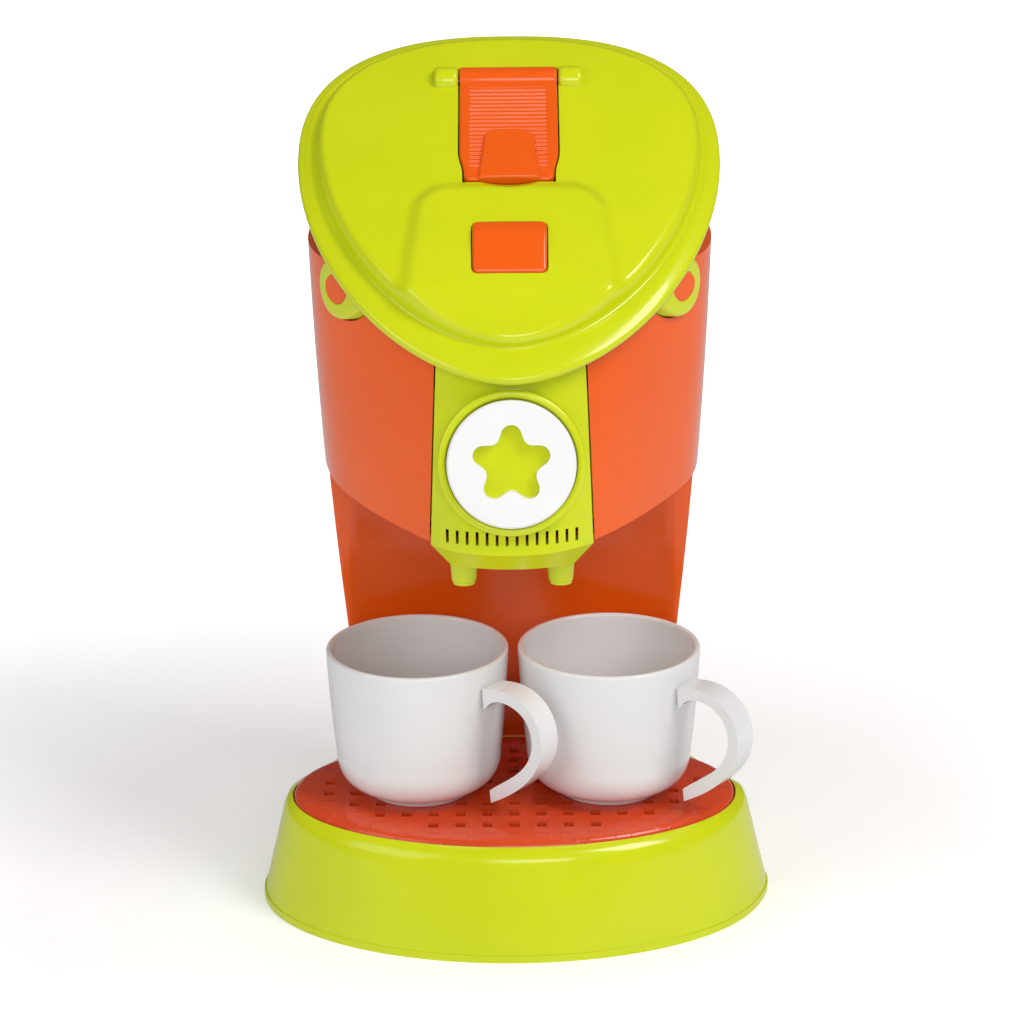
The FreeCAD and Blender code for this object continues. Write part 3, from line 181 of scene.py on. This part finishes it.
# Which finish each node wears, and how far its edges are softened in metres
dress = {
    "base_shell": ("lime", 0.0), "base_plate": ("lime", 0.0004), "base_screws": ("steel", 0),
    "column_screws": ("steel", 0), "drip_tray": ("trayOrange", 0.0), "housing_front": ("orange", 0.0),
    "rear_cover": ("orange", 0.0), "cover_screws": ("steel", 0), "front_panel": ("lime", 0.0),
    "spout_block": ("lime", 0.0004), "spout_left": ("lime", 0.0), "spout_right": ("lime", 0.0),
    "star_dial": ("dialWhite", 0.0004), "dial_hub": ("lime", 0.0), "dial_clip": ("steel", 0),
    "tap_body": ("white", 0), "tap_core": ("orange", 0), "water_tank": ("white", 0),
    "lid_shell": ("lime", 0.0), "lid_liner": ("limeDeep", 0.0), "hinge_pin_left": ("orange", 0.0),
    "hinge_pin_right": ("orange", 0.0), "flap": ("orange", 0.0), "flap_pin": ("pinGreyAndPaintedShade", 0),
    "button": ("orange", 0.0), "button_spring": ("steel", 0), "cup_left": ("white", 0.0),
    "cup_handle_left": ("white", 0.0008), "cup_right": ("white", 0.0),
    "cup_handle_right": ("white", 0.0008),
}
bodyOf = {node: body for body, nodes in frame["record"]["behaviour"]["bodies"].items()
          for node in nodes}


def shadeInto(mesh, work, angle):
    # smooth shading except across edges sharper than the angle in degrees
    for face in work.faces:
        face.smooth = True
    for edge in work.edges:
        if len(edge.link_faces) == 2:
            edge.smooth = edge.calc_face_angle(0) < math.radians(angle)
    work.to_mesh(mesh)
    work.free()


def dressed(name, mesh, finish, node, replaced=True):
    # an object of the mesh with the finish, on the node's body, and the node hidden when the piece
    # replaces it
    mesh.materials.clear()
    mesh.materials.append(finishes[finish])
    piece = bpy.data.objects.new(name, mesh)
    bpy.context.scene.collection.objects.link(piece)
    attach(piece, bodyOf[node])
    if replaced:
        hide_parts(node)
    return piece


def smoothCopy(node, finish, soften, angle):
    # a merged copy of the node's triangles, with bevelled edges where they are softened
    mesh = bpy.data.meshes.new(node + "Skin")
    work = bmesh.new()
    work.from_mesh(frame["nodes"][node].data)
    bmesh.ops.remove_doubles(work, verts=work.verts, dist=1e-6)
    bmesh.ops.dissolve_degenerate(work, edges=work.edges, dist=1e-7)
    shadeInto(mesh, work, angle)
    piece = dressed(node + "Skin", mesh, finish, node)
    if soften:
        bevel = piece.modifiers.new("softEdges", "BEVEL")
        bevel.width, bevel.segments, bevel.limit_method = soften, 3, "ANGLE"
        bevel.angle_limit = math.radians(angle)
    return piece


def finishMesh(mesh, angle=35):
    # merge what coincides, turn faces outwards and mark the sharp edges
    work = bmesh.new()
    work.from_mesh(mesh)
    bmesh.ops.remove_doubles(work, verts=work.verts, dist=2e-6)
    bmesh.ops.recalc_face_normals(work, faces=work.faces)
    shadeInto(mesh, work, angle)


def addPiece(name, mesh, finish, node, replaced=True, angle=35):
    finishMesh(mesh, angle)
    return dressed(name, mesh, finish, node, replaced)


def ringMesh(name, rings, closed=False, caps=(False, False)):
    # rings: rows x points x 3 in metres; quads join neighbouring rings, a cap closes an end
    rings = np.asarray(rings, dtype=float)
    rows, count = rings.shape[:2]
    index = np.arange(rows * count).reshape(rows, count)
    if closed:
        index = np.vstack([index, index[:1]])
    a, b = index[:-1], index[1:]
    quads = np.stack([a, np.roll(a, -1, 1), np.roll(b, -1, 1), b], axis=-1).reshape(-1, 4)
    points = rings.reshape(-1, 3)
    faces = quads.tolist()
    for wanted, row in zip(caps, (0, rows - 1)):
        if wanted:
            faces.append(index[row].tolist())
    mesh = bpy.data.meshes.new(name)
    mesh.from_pydata(points.tolist(), [], faces)
    return mesh


def oval(shape, angles, inset=0.0):
    # |x/a|^p + |y/b|^p = 1, with its own depth b and power p before and behind the centre
    half, front, rear, nose, tail, centre = shape
    across, along = np.cos(angles), np.sin(angles)
    power = np.where(along < 0, nose, tail)
    depth = np.where(along < 0, front, rear) - inset
    return np.stack([(half - inset) * np.sign(across) * np.abs(across) ** (2 / power),
                     centre + depth * np.sign(along) * np.abs(along) ** (2 / power)], axis=-1)


# The lid's middle in millimetres, and how far it leans forward
lidFrame = {"place": 29, "height": 242.6, "lean": math.radians(36)}


def inLid(points):
    # from the lid's own frame in millimetres (u across, v up the slope, n off it) to metres
    sine, cosine = math.sin(lidFrame["lean"]), math.cos(lidFrame["lean"])
    u, v, n = np.moveaxis(np.asarray(points, dtype=float), -1, 0)
    return np.stack([u, lidFrame["place"] + v * cosine - n * sine,
                     lidFrame["height"] + v * sine + n * cosine], axis=-1) * 0.001


def ease(x):
    # smooth step from 0 to 1
    x = np.clip(x, 0, 1)
    return x * x * (3 - 2 * x)


def carve(piece, cutters):
    # takes the closed cutter meshes out of the piece and keeps the result as its mesh
    helpers = []
    for number, mesh in enumerate(cutters):
        finishMesh(mesh)
        helper = bpy.data.objects.new("carveHelper%d" % number, mesh)
        bpy.context.scene.collection.objects.link(helper)
        helpers.append(helper)
        change = piece.modifiers.new("carve%d" % number, "BOOLEAN")
        change.operation, change.solver, change.object = "DIFFERENCE", "EXACT", helper
    bpy.context.view_layer.update()
    evaluated = piece.evaluated_get(bpy.context.evaluated_depsgraph_get())
    result = bpy.data.meshes.new_from_object(evaluated)
    piece.modifiers.clear()
    piece.data = result
    for helper in helpers:
        bpy.data.objects.remove(helper)


def prism(name, outline, low, high):
    # a closed outline of (u, v) points in the lid's frame, carried from one height to another
    outline = np.asarray(outline, dtype=float)
    rings = [np.column_stack([outline, np.full(len(outline), height)]) for height in (low, high)]
    return ringMesh(name, inLid(np.array(rings)), caps=(True, True))


def roundedOutline(corners, radius, steps=6):
    # a polygon whose corners are replaced by arcs drawn as quadratic curves
    corners = np.asarray(corners, dtype=float)
    points = []
    for before, corner, after in zip(np.roll(corners, 1, 0), corners, np.roll(corners, -1, 0)):
        start = corner + (before - corner) / np.linalg.norm(before - corner) * radius
        stop = corner + (after - corner) / np.linalg.norm(after - corner) * radius
        t = np.linspace(0, 1, steps)[:, None]
        points.append((1 - t) ** 2 * start + 2 * t * (1 - t) * corner + t ** 2 * stop)
    return np.vstack(points)


# The lid: rim, rolled brim, valley, soft-edged dome and the raised field round the button
lidSizes = {
    "rim": (67.8, 90.5, 53.7, 1.8, 2.5, 0.0), "dome": (61.5, 81.5, 43.5, 1.8, 2.5, 2.5),
    "ball": 428.0, "peak": -8.0, "rise": 14.2, "hip": 5.0, "shoulder": 3.4, "points": 288,
    "brimTop": 3.05, "brimClimb": 0.95, "brimSwell": 0.315, "wall": 2.6,
    "fieldRise": 2.6, "fieldHalf": 28.5, "fieldFlare": 5.2, "fieldRear": -22.5, "fieldFront": -66.0,
    "fieldCorner": 9.0, "fieldFade": 12.0, "blend": 6.0,
    "scoopRadius": 26.0, "scoopReach": 11.6, "scoopCentre": -12.9,
    "flapGap": 0.45, "flapFloor": 10.4, "seatRear": 28.0, "seatNose": 2.4, "cutTop": 34.0,
    "roomRadius": 4.65, "roomHalf": 16.15, "buttonGap": 0.35, "holeCorner": 2.6, "holeFoot": -4.0,
    "lugRadius": 4.6, "lugEnd": 23.9, "lugHeight": 11.3,
}


def lidTop(u, v):
    # a sphere's cap, the raised field with soft edges, and the finger scoop below the flap
    z = lidSizes
    cap = z["rise"] - z["ball"] + np.sqrt(z["ball"] ** 2 - u ** 2 - (v - z["peak"]) ** 2)
    length = z["fieldRear"] - z["fieldFront"]
    spread = z["fieldHalf"] + z["fieldFlare"] * np.clip((z["fieldRear"] - v) / length, 0, 1)
    beside, beyond = spread - np.abs(u), z["fieldRear"] - v
    corner = z["fieldCorner"]
    inside = corner - np.hypot(np.clip(corner - beside, 0, None), np.clip(corner - beyond, 0, None))
    field = ease(inside / z["blend"] + 0.5) * ease((v - z["fieldFront"]) / z["fieldFade"] + 0.5)
    top = cap + z["fieldRise"] * field
    gap = np.clip(np.hypot(u, v - z["scoopCentre"]), 0, z["scoopReach"])
    depth = (np.sqrt(z["scoopRadius"] ** 2 - gap ** 2)
             - math.sqrt(z["scoopRadius"] ** 2 - z["scoopReach"] ** 2))
    return top - depth


def buildLid():
    z = lidSizes
    angles = np.linspace(0, 2 * np.pi, z["points"], endpoint=False)
    rings = []

    def ring(shape, inset, height):
        flat = oval(z[shape], angles, inset)
        rings.append(np.column_stack([flat, np.full(len(flat), height)]))

    for shape, inset, height in (("dome", 4.4, 6.0), ("dome", 3.4, 3.0), ("dome", 3.2, 0.5),
                                 ("dome", 2.9, 0.0), ("rim", 0.9, 0.0), ("rim", 0.3, 0.12),
                                 ("rim", 0.0, 0.6), ("rim", 0.0, 1.5), ("rim", 0.25, 2.2),
                                 ("rim", 0.9, 2.75), ("rim", 1.9, z["brimTop"])):
        ring(shape, inset, height)
    outer, valley = oval(z["rim"], angles, 1.9), oval(z["dome"], angles, -1.6)
    for t in np.linspace(0.12, 1, 10):
        height = z["brimTop"] + z["brimClimb"] * t + z["brimSwell"] * np.sin(np.pi * t)
        rings.append(np.column_stack([outer * (1 - t) + valley * t, np.full(len(outer), height)]))
    ring("dome", -0.8, 4.05)
    ring("dome", -0.2, 4.35)
    ring("dome", 0.05, 4.9)
    edge = oval(z["dome"], angles, z["shoulder"])
    crest = lidTop(edge[:, 0], edge[:, 1])
    for turn in np.linspace(0, np.pi / 2, 9)[:-1]:
        flat = oval(z["dome"], angles, 0.1 + (z["shoulder"] - 0.1) * (1 - math.cos(turn)))
        height = z["hip"] + (crest - z["hip"]) * (0.12 + 0.88 * math.sin(turn))
        rings.append(np.column_stack([flat, height]))
    hub = np.array([0.0, z["peak"]])
    for share in np.linspace(1, 0, 74):
        flat = hub + (edge - hub) * max(share, 1e-4)
        rings.append(np.column_stack([flat, lidTop(flat[:, 0], flat[:, 1])]))
    inner = oval(z["dome"], angles, 6.5)
    for share in (1e-4, 0.25, 0.5, 0.75, 1.0):
        flat = hub + (inner - hub) * share
        thicker = z["fieldRise"] * 0.4 if share > 0.3 else 0
        height = lidTop(flat[:, 0], flat[:, 1]) - z["wall"] - thicker
        rings.append(np.column_stack([flat, height]))
    mesh = ringMesh("lidTop", inLid(np.array(rings)), closed=True)
    return addPiece("lidTop", mesh, "lime", "lid_shell")


def lidPiece(name, rings, finish, node, replaced=True, angle=50):
    mesh = ringMesh(name, inLid(np.array(rings)), caps=(True, True))
    addPiece(name, mesh, finish, node, replaced, angle)


def rod(radius, start, stop, centre, edge, count=48):
    # rings of a round bar along u with softly rounded ends
    angles = np.linspace(0, 2 * np.pi, count, endpoint=False)
    turns = np.linspace(0, np.pi / 2, 6)
    profile = [(start, radius * 0.02), (start, radius - edge)]
    profile += [(start + edge * (1 - math.cos(t)), radius - edge + edge * math.sin(t)) for t in turns]
    profile += [(stop - edge * (1 - math.cos(t)), radius - edge + edge * math.sin(t))
                for t in turns[::-1]]
    profile += [(stop, radius - edge), (stop, radius * 0.02)]
    return [np.column_stack([np.full(count, u), centre[0] + r * np.cos(angles),
                             centre[1] + r * np.sin(angles)]) for u, r in profile]


def turnOver(distance, radius):
    # how far a rounded edge has dropped at a distance from the edge
    inside = np.clip(radius - distance, 0, radius)
    return radius - np.sqrt(np.clip(radius ** 2 - inside ** 2, 0, None))


def slab(rows, halfAt, topAt, low, columns):
    # cross-sections along v: a top line from edge to edge, denser at the edges, and a flat underside
    even = np.linspace(-1, 1, columns)
    across = 0.65 * even + 0.35 * np.sin(np.pi / 2 * even)
    rings = []
    for v in rows:
        u = across * halfAt(v)
        top = topAt(u, np.full_like(u, v))
        under = np.array([[u[-1], v, low], [u[0], v, low]])
        rings.append(np.vstack([np.column_stack([u, np.full_like(u, v), top]), under]))
    return rings


# The two ears that hang from the rim over the housing's shoulders and take the hinge pins
earSizes = {"v": -46.24, "n": -6.82, "radius": 9.5, "start": 43.5, "proud": 2.2, "hole": 4.72,
            "soft": 1.3, "top": 6.5}
# The housing under them: half its width at three heights, and the oval before its middle
housingSizes = {"heights": (35.5, 140, 236), "halves": (50.3, 61.1, 65.6), "middle": 28,
                "front": 73, "frontHeight": 137, "lean": math.radians(9), "power": 1.8}
widthCurve = np.polyfit(housingSizes["heights"], housingSizes["halves"], 2)


def earHalf(y, z):
    # |x/a|^p + |y/b|^p = 1 round the housing, grown by what an ear stands proud
    h = housingSizes
    front = h["front"] - (z - h["frontHeight"]) * math.tan(h["lean"])
    share = np.clip((h["middle"] - y) / (front + earSizes["proud"]), 0, 1)
    half = np.polyval(widthCurve, z) + earSizes["proud"]
    return half * (1 - share ** h["power"]) ** (1 / h["power"])


def buildEar(side):
    e = earSizes
    turns = np.radians(np.linspace(-8, -172, 44))
    low = np.column_stack([np.cos(turns), np.sin(turns)]) * e["radius"]
    front = np.array([(-9.9, 0.6), (-10.8, 2.6), (-12.4, 4.6), (-14.6, 6.2)])
    # the rear stays inside the circle that the housing leaves free, so that the ear can turn
    rise = np.radians(np.linspace(42, 0, 9))
    rear = np.column_stack([np.cos(rise), np.sin(rise)]) * e["radius"]
    bridge = np.column_stack([np.linspace(-12, 6, 8), np.full(8, e["top"])])
    outline = np.vstack([low, front, bridge, rear])
    heading = np.arctan2(outline[:, 1], outline[:, 0])
    circle = np.column_stack([np.cos(heading), np.sin(heading)])
    rings = []

    def ring(flat, drop):
        # a ring sunk by drop below the ear's outer face, or flat at its inner end
        place = inLid(np.column_stack([np.zeros(len(flat)), flat[:, 0] + e["v"],
                                       flat[:, 1] + e["n"]])) * 1000
        x = (earHalf(place[:, 1], place[:, 2]) - drop if drop is not None
             else np.full(len(flat), e["start"]))
        rings.append(np.column_stack([side * x, place[:, 1:]]) * 0.001)

    ring(outline, None)
    for turn in np.linspace(0, np.pi / 2, 6):
        inset = e["soft"] * (1 - math.cos(turn))
        ring(outline - circle * inset, e["soft"] * (1 - math.sin(turn)))
    for share in (0.75, 0.5, 0.25, 0.0):
        ring(circle * (e["hole"] + 0.35) * (1 - share) + (outline - circle * e["soft"]) * share, 0.0)
    ring(circle * (e["hole"] + 0.1), 0.08)
    ring(circle * e["hole"], 0.4)
    ring(circle * e["hole"], None)
    name = "earLeft" if side < 0 else "earRight"
    addPiece(name, ringMesh(name, np.array(rings), closed=True), "lime", "lid_shell", False, 50)


# The flap: a ribbed field, a raised thumb tab and the barrel of its hinge
flapSizes = {"front": -20.0, "rear": 24.5, "half": 15.7, "tuck": 1.4, "corner": 2.4, "soft": 1.0,
             "low": 10.6, "high": 15.1, "bend": 858.0, "barrel": 4.2, "barrelV": 25.2,
             "barrelN": 11.5, "ribHalf": 12.3, "ribStart": -14.7, "ribEnd": 19.6, "ribs": 20,
             "sunk": 0.55, "ribHeight": 0.6, "tabWide": 10.0, "tabNarrow": 7.8, "tabRear": 0.4,
             "tabCorner": 3.6, "tabHigh": 16.5, "tabCrown": 0.0045}


def flapHalf(v):
    z = flapSizes
    gap = np.clip(z["front"] + z["corner"] - v, 0, z["corner"])
    return (z["half"] - z["tuck"] * ease((-8 - v) / 9.0)
            - (z["corner"] - np.sqrt(np.clip(z["corner"] ** 2 - gap ** 2, 0, None))))


def flapTop(u, v):
    # the ribbed field lies a little below the frame round it; the tab stands above both
    z = flapSizes
    curve = -(v - lidSizes["peak"]) ** 2 / z["bend"]
    field = (ease((z["ribHalf"] - np.abs(u)) / 0.5 + 0.5) * ease((v - z["ribStart"]) / 0.5 + 0.5)
             * ease((z["ribEnd"] - v) / 0.5 + 0.5))
    pitch = (z["ribEnd"] - z["ribStart"]) / z["ribs"]
    wave = 0.5 - 0.5 * np.cos(2 * np.pi * (v - z["ribStart"]) / pitch)
    top = z["high"] + curve - field * (z["sunk"] - z["ribHeight"] * wave)
    half = z["tabNarrow"] + (z["tabWide"] - z["tabNarrow"]) * np.clip(v / z["front"], 0, 1)
    beside, beyond = half - np.abs(u), z["tabRear"] - v
    corner = z["tabCorner"]
    depth = corner - np.hypot(np.clip(corner - beside, 0, None), np.clip(corner - beyond, 0, None))
    tab = ease(depth / 0.8)
    top = top * (1 - tab) + (z["tabHigh"] + curve - z["tabCrown"] * u ** 2) * tab
    edge = np.minimum(flapHalf(v) - np.abs(u), v - z["front"] + 0.02)
    return top - turnOver(edge, z["soft"])


def buildFlap():
    z = flapSizes
    start = z["front"] + z["corner"] * (1 - np.cos(np.linspace(0, np.pi / 2, 16)))
    rows = np.concatenate([start[:-1], np.linspace(start[-1], z["rear"], 300)])
    lidPiece("flapPlate", slab(rows, flapHalf, flapTop, z["low"], 101), "orange", "flap")
    barrel = rod(z["barrel"], -z["half"], z["half"], (z["barrelV"], z["barrelN"]), 0.9)
    lidPiece("flapBarrel", barrel, "orange", "flap", angle=40)


# The push button: a short ledge behind a ridge and a long face sloping forward
buttonSizes = {"rear": -38.4, "front": -57.0, "half": 11.6, "corner": 2.0, "soft": 1.2, "low": 8.0,
               "ridge": -43.4, "ridgeHigh": 17.7, "ledgeSlope": 0.22, "faceSlope": 0.26,
               "ridgeSoft": 0.25}


def buttonHalf(v):
    z = buttonSizes
    gap = np.maximum(np.clip(z["front"] + z["corner"] - v, 0, z["corner"]),
                     np.clip(v - z["rear"] + z["corner"], 0, z["corner"]))
    return z["half"] - (z["corner"] - np.sqrt(np.clip(z["corner"] ** 2 - gap ** 2, 0, None)))


def buttonTop(u, v):
    z = buttonSizes
    ledge = z["ridgeHigh"] + (z["ridge"] - v) * z["ledgeSlope"]
    face = z["ridgeHigh"] + (v - z["ridge"]) * z["faceSlope"]
    blend = np.sqrt((ledge - face) ** 2 + z["ridgeSoft"])
    edge = np.minimum(buttonHalf(v) - np.abs(u), np.minimum(v - z["front"], z["rear"] - v) + 0.02)
    return 0.5 * (ledge + face - blend) - turnOver(edge, z["soft"])


def buildButton():
    z = buttonSizes
    corner = z["corner"]
    turn = corner * (1 - np.cos(np.linspace(0, np.pi / 2, 12)))
    middle = np.linspace(z["front"] + corner, z["rear"] - corner, 60)
    rows = np.concatenate([z["front"] + turn[:-1], middle, z["rear"] - turn[::-1][1:]])
    lidPiece("buttonCap", slab(rows, buttonHalf, buttonTop, z["low"], 61), "orange", "button")


def buildCarvedLid():
    # the lid with the flap's seat, the room for its barrel and the button's hole taken out
    lid, z, flap, button = buildLid(), lidSizes, flapSizes, buttonSizes
    rows = np.linspace(flap["front"], z["seatRear"], 40)
    straight = flap["front"] + z["seatNose"]
    halves = np.array([flapHalf(max(v, straight)) for v in rows]) + z["flapGap"]
    left = np.column_stack([-halves, rows])
    right = np.column_stack([halves, rows])[::-1]
    left[0, 1] = right[-1, 1] = flap["front"] - 0.4
    seat = prism("flapSeat", np.vstack([left, right]), z["flapFloor"], z["cutTop"])
    pin = (flap["barrelV"], flap["barrelN"])
    room = ringMesh("barrelRoom", inLid(np.array(rod(z["roomRadius"], -z["roomHalf"], z["roomHalf"],
                                                     pin, 0.3))), caps=(True, True))
    wide, gap = button["half"] + z["buttonGap"], z["buttonGap"]
    front, rear = button["front"] - gap, button["rear"] + gap
    hole = roundedOutline([(-wide, front), (wide, front), (wide, rear), (-wide, rear)],
                          z["holeCorner"], 8)
    carve(lid, [seat, room, prism("buttonHole", hole, z["holeFoot"], z["cutTop"])])
    finishMesh(lid.data, 40)
    for side, name in ((-1, "lugLeft"), (1, "lugRight")):
        ends = sorted((side * z["roomHalf"], side * z["lugEnd"]))
        lug = rod(z["lugRadius"], ends[0], ends[1], (flap["barrelV"], z["lugHeight"]), 1.5)
        lidPiece(name, lug, "lime", "lid_shell", False)
        buildEar(side)


def arcThrough(a, b, c, count):
    # a smooth run through three points: the quadratic that meets them at 0, one half and 1
    t = np.linspace(0, 1, count)[:, None]
    return (np.array(a) * (1 - t) * (1 - 2 * t) + np.array(b) * 4 * t * (1 - t)
            + np.array(c) * t * (2 * t - 1))


# The cups: turned bowls with a rounded rim and a foot ring, standing on the tray
cupPlaces = {"apart": 31.5, "depth": 0.8, "height": 37.0}


def buildCup(side, label):
    # the profile of (radius, height) pairs runs up the outside, over the lip and down the inside
    lip = [(29.0 + 1.0 * math.cos(t), 49.4 + 1.0 * math.sin(t)) for t in np.linspace(0, np.pi, 12)]
    profile = np.vstack([
        [(0.02, 1.6), (14.8, 1.6), (15.2, 1.2), (15.2, 0.4), (15.6, 0.0), (17.1, 0.0), (17.6, 0.5),
         (17.6, 1.8), (17.9, 2.4)],
        arcThrough((19.2, 2.75), (25.3, 6.4), (27.4, 15.0), 18),
        arcThrough((27.4, 15.0), (29.0, 32.2), (30.0, 49.3), 24)[1:], lip,
        arcThrough((28.0, 49.3), (27.0, 32.2), (25.4, 15.2), 20)[1:],
        arcThrough((25.4, 15.2), (23.3, 9.2), (16.5, 6.6), 14)[1:], [(8.0, 6.55), (0.02, 6.55)]])
    angles = np.linspace(0, 2 * np.pi, 144, endpoint=False)
    radius, height = profile[:, 0][:, None], profile[:, 1][:, None]
    rings = np.stack([side * cupPlaces["apart"] + radius * np.cos(angles),
                      cupPlaces["depth"] + radius * np.sin(angles),
                      cupPlaces["height"] + height + 0 * angles], axis=-1) * 0.001
    addPiece("cup" + label, ringMesh("cup" + label, rings), "white", "cup_" + label.lower(),
             angle=60)


# The rounded lip of the ring that holds the dial, turned about the dial's leaning axis
lipSizes = {"lean": math.radians(9), "panelFront": -45, "climb": 27.2, "back": 1.2,
            "height": 164.2, "radius": 21.6, "half": 1.22, "foot": 1.6, "start": 2.45, "rise": 0.75,
            "overhang": 0.02}


def buildRingLip():
    z = lipSizes
    sine, cosine = math.sin(z["lean"]), math.cos(z["lean"])
    middle = z["panelFront"] + z["climb"] * math.tan(z["lean"]) - z["back"]
    edge = z["half"] + z["overhang"]
    profile = [(z["radius"] - edge, z["foot"])]
    profile += [(z["radius"] - z["half"] * math.cos(t), z["start"] + z["rise"] * math.sin(t))
                for t in np.linspace(0, np.pi, 15)]
    profile += [(z["radius"] + edge, z["foot"])]
    angles = np.linspace(0, 2 * np.pi, 144, endpoint=False)
    rings = []
    for radius, height in profile:
        along = radius * np.sin(angles)
        rings.append(np.stack([radius * np.cos(angles), middle + along * sine - height * cosine,
                               z["height"] + along * cosine + height * sine], axis=-1))
    addPiece("dialRingLip", ringMesh("dialRingLip", np.array(rings) * 0.001, closed=True),
             "lime", "front_panel", False, 50)


buildCarvedLid()
buildRingLip()
buildFlap()
buildButton()
buildCup(-1, "Left")
buildCup(1, "Right")
print("detailed pieces made")

# All other nodes wear a smooth copy; the angle in degrees parts soft edges from sharp ones
redrawn = {"lid_shell", "flap", "button", "cup_left", "cup_right"}
roundEdged = {"base_shell": 50, "drip_tray": 50}
skins = {node: smoothCopy(node, *values, angle=roundEdged.get(node, 32))
         for node, values in dress.items() if node not in redrawn}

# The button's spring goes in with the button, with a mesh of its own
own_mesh(skins["button_spring"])
print("skins made:", len(skins))


# The photograph's camera: about 1.1 m away, looking 18.8 degrees down
camera = {"place": (0.00003, -0.98131, 0.46845), "down": 18.833, "roll": -0.488, "lens": 112.5}
eye = bpy.data.objects.new("viewCamera", bpy.data.cameras.new("viewCamera"))
eye.data.lens, eye.data.sensor_width = camera["lens"], 36
eye.matrix_world = (Matrix.Translation(camera["place"])
                    @ Matrix.Rotation(math.radians(90 - camera["down"]), 4, "X")
                    @ Matrix.Rotation(math.radians(camera["roll"]), 4, "Z"))
bpy.context.scene.collection.objects.link(eye)
bpy.context.scene.camera = eye


# A white floor that keeps the shadow, and a white world for the camera and for reflections
def studioWhite(name, shade):
    # the floor glows a little for the camera alone, and more with distance, so that it ends white
    finish = Finish(name)
    place = finish.node("TexCoord", output=3)
    cloud = finish.node("TexNoise", inputs={"Vector": place, "Scale": 3.0})
    finish.feed("Base Color", finish.node("ValToRGB", settings={
        "stops": [(0.3, (shade, shade, shade, 1)), (0.7, (shade, shade, min(1, shade * 1.005), 1))]},
        inputs={"Fac": cloud}))
    finish.feed("Roughness", 0.6 + cloud * 0.02)
    finish.feed("Specular IOR Level", 0.1)
    reach = finish.node("VectorMath", {"operation": "LENGTH"}, {"Vector": place}, 1)
    far = ((reach - 0.16) * 1.6).most(0.0).least(1.0)
    glow = finish.node("LightPath") * (0.24 + far * 0.85)
    finish.feed("Emission Strength", 1.0)
    finish.feed("Emission Color", finish.node("CombineColor", inputs={
        "Red": glow, "Green": glow, "Blue": glow}))
    return finish.material


floorMesh = bpy.data.meshes.new("studioFloor")
floorMesh.from_pydata([(-6, -6, 0), (6, -6, 0), (6, 6, 0), (-6, 6, 0)], [], [(0, 1, 2, 3)])
floor = bpy.data.objects.new("studioFloor", floorMesh)
floorMesh.materials.append(studioWhite("floorWhite", 0.93))
bpy.context.scene.collection.objects.link(floor)

world = bpy.data.worlds.new("studioWorld")
world.use_nodes = True
bpy.context.scene.world = world
tree = world.node_tree
back = tree.nodes["Background"]
rays = tree.nodes.new("ShaderNodeLightPath")
seen = Wire(tree, rays.outputs["Is Camera Ray"]).most(Wire(tree, rays.outputs["Is Transmission Ray"]))
glossy = Wire(tree, rays.outputs["Is Glossy Ray"])
back.inputs["Color"].default_value = (1.0, 1.0, 1.0, 1)
tree.links.new((0.40 + seen * 0.62 - glossy * 0.32).socket, back.inputs["Strength"])


def areaLamp(name, place, aim, size, power, colour=(1, 1, 1)):
    lamp = bpy.data.objects.new(name, bpy.data.lights.new(name, "AREA"))
    lamp.data.shape, lamp.data.size, lamp.data.size_y = "RECTANGLE", size[0], size[1]
    lamp.data.energy, lamp.data.color = power, colour
    lamp.location = place
    lamp.rotation_euler = (Vector(aim) - Vector(place)).to_track_quat("-Z", "Y").to_euler()
    bpy.context.scene.collection.objects.link(lamp)


areaLamp("keyLamp", (0.75, -0.55, 1.15), (0, 0, 0.13), (0.45, 0.6), 8.5, (1.0, 0.98, 0.95))
areaLamp("fillLamp", (-0.9, -0.8, 0.7), (0, 0, 0.12), (0.8, 0.9), 3.6)
areaLamp("frontLamp", (0.15, -1.5, 0.75), (0, 0, 0.12), (0.7, 0.5), 4.6)
print("stage and lamps ready")
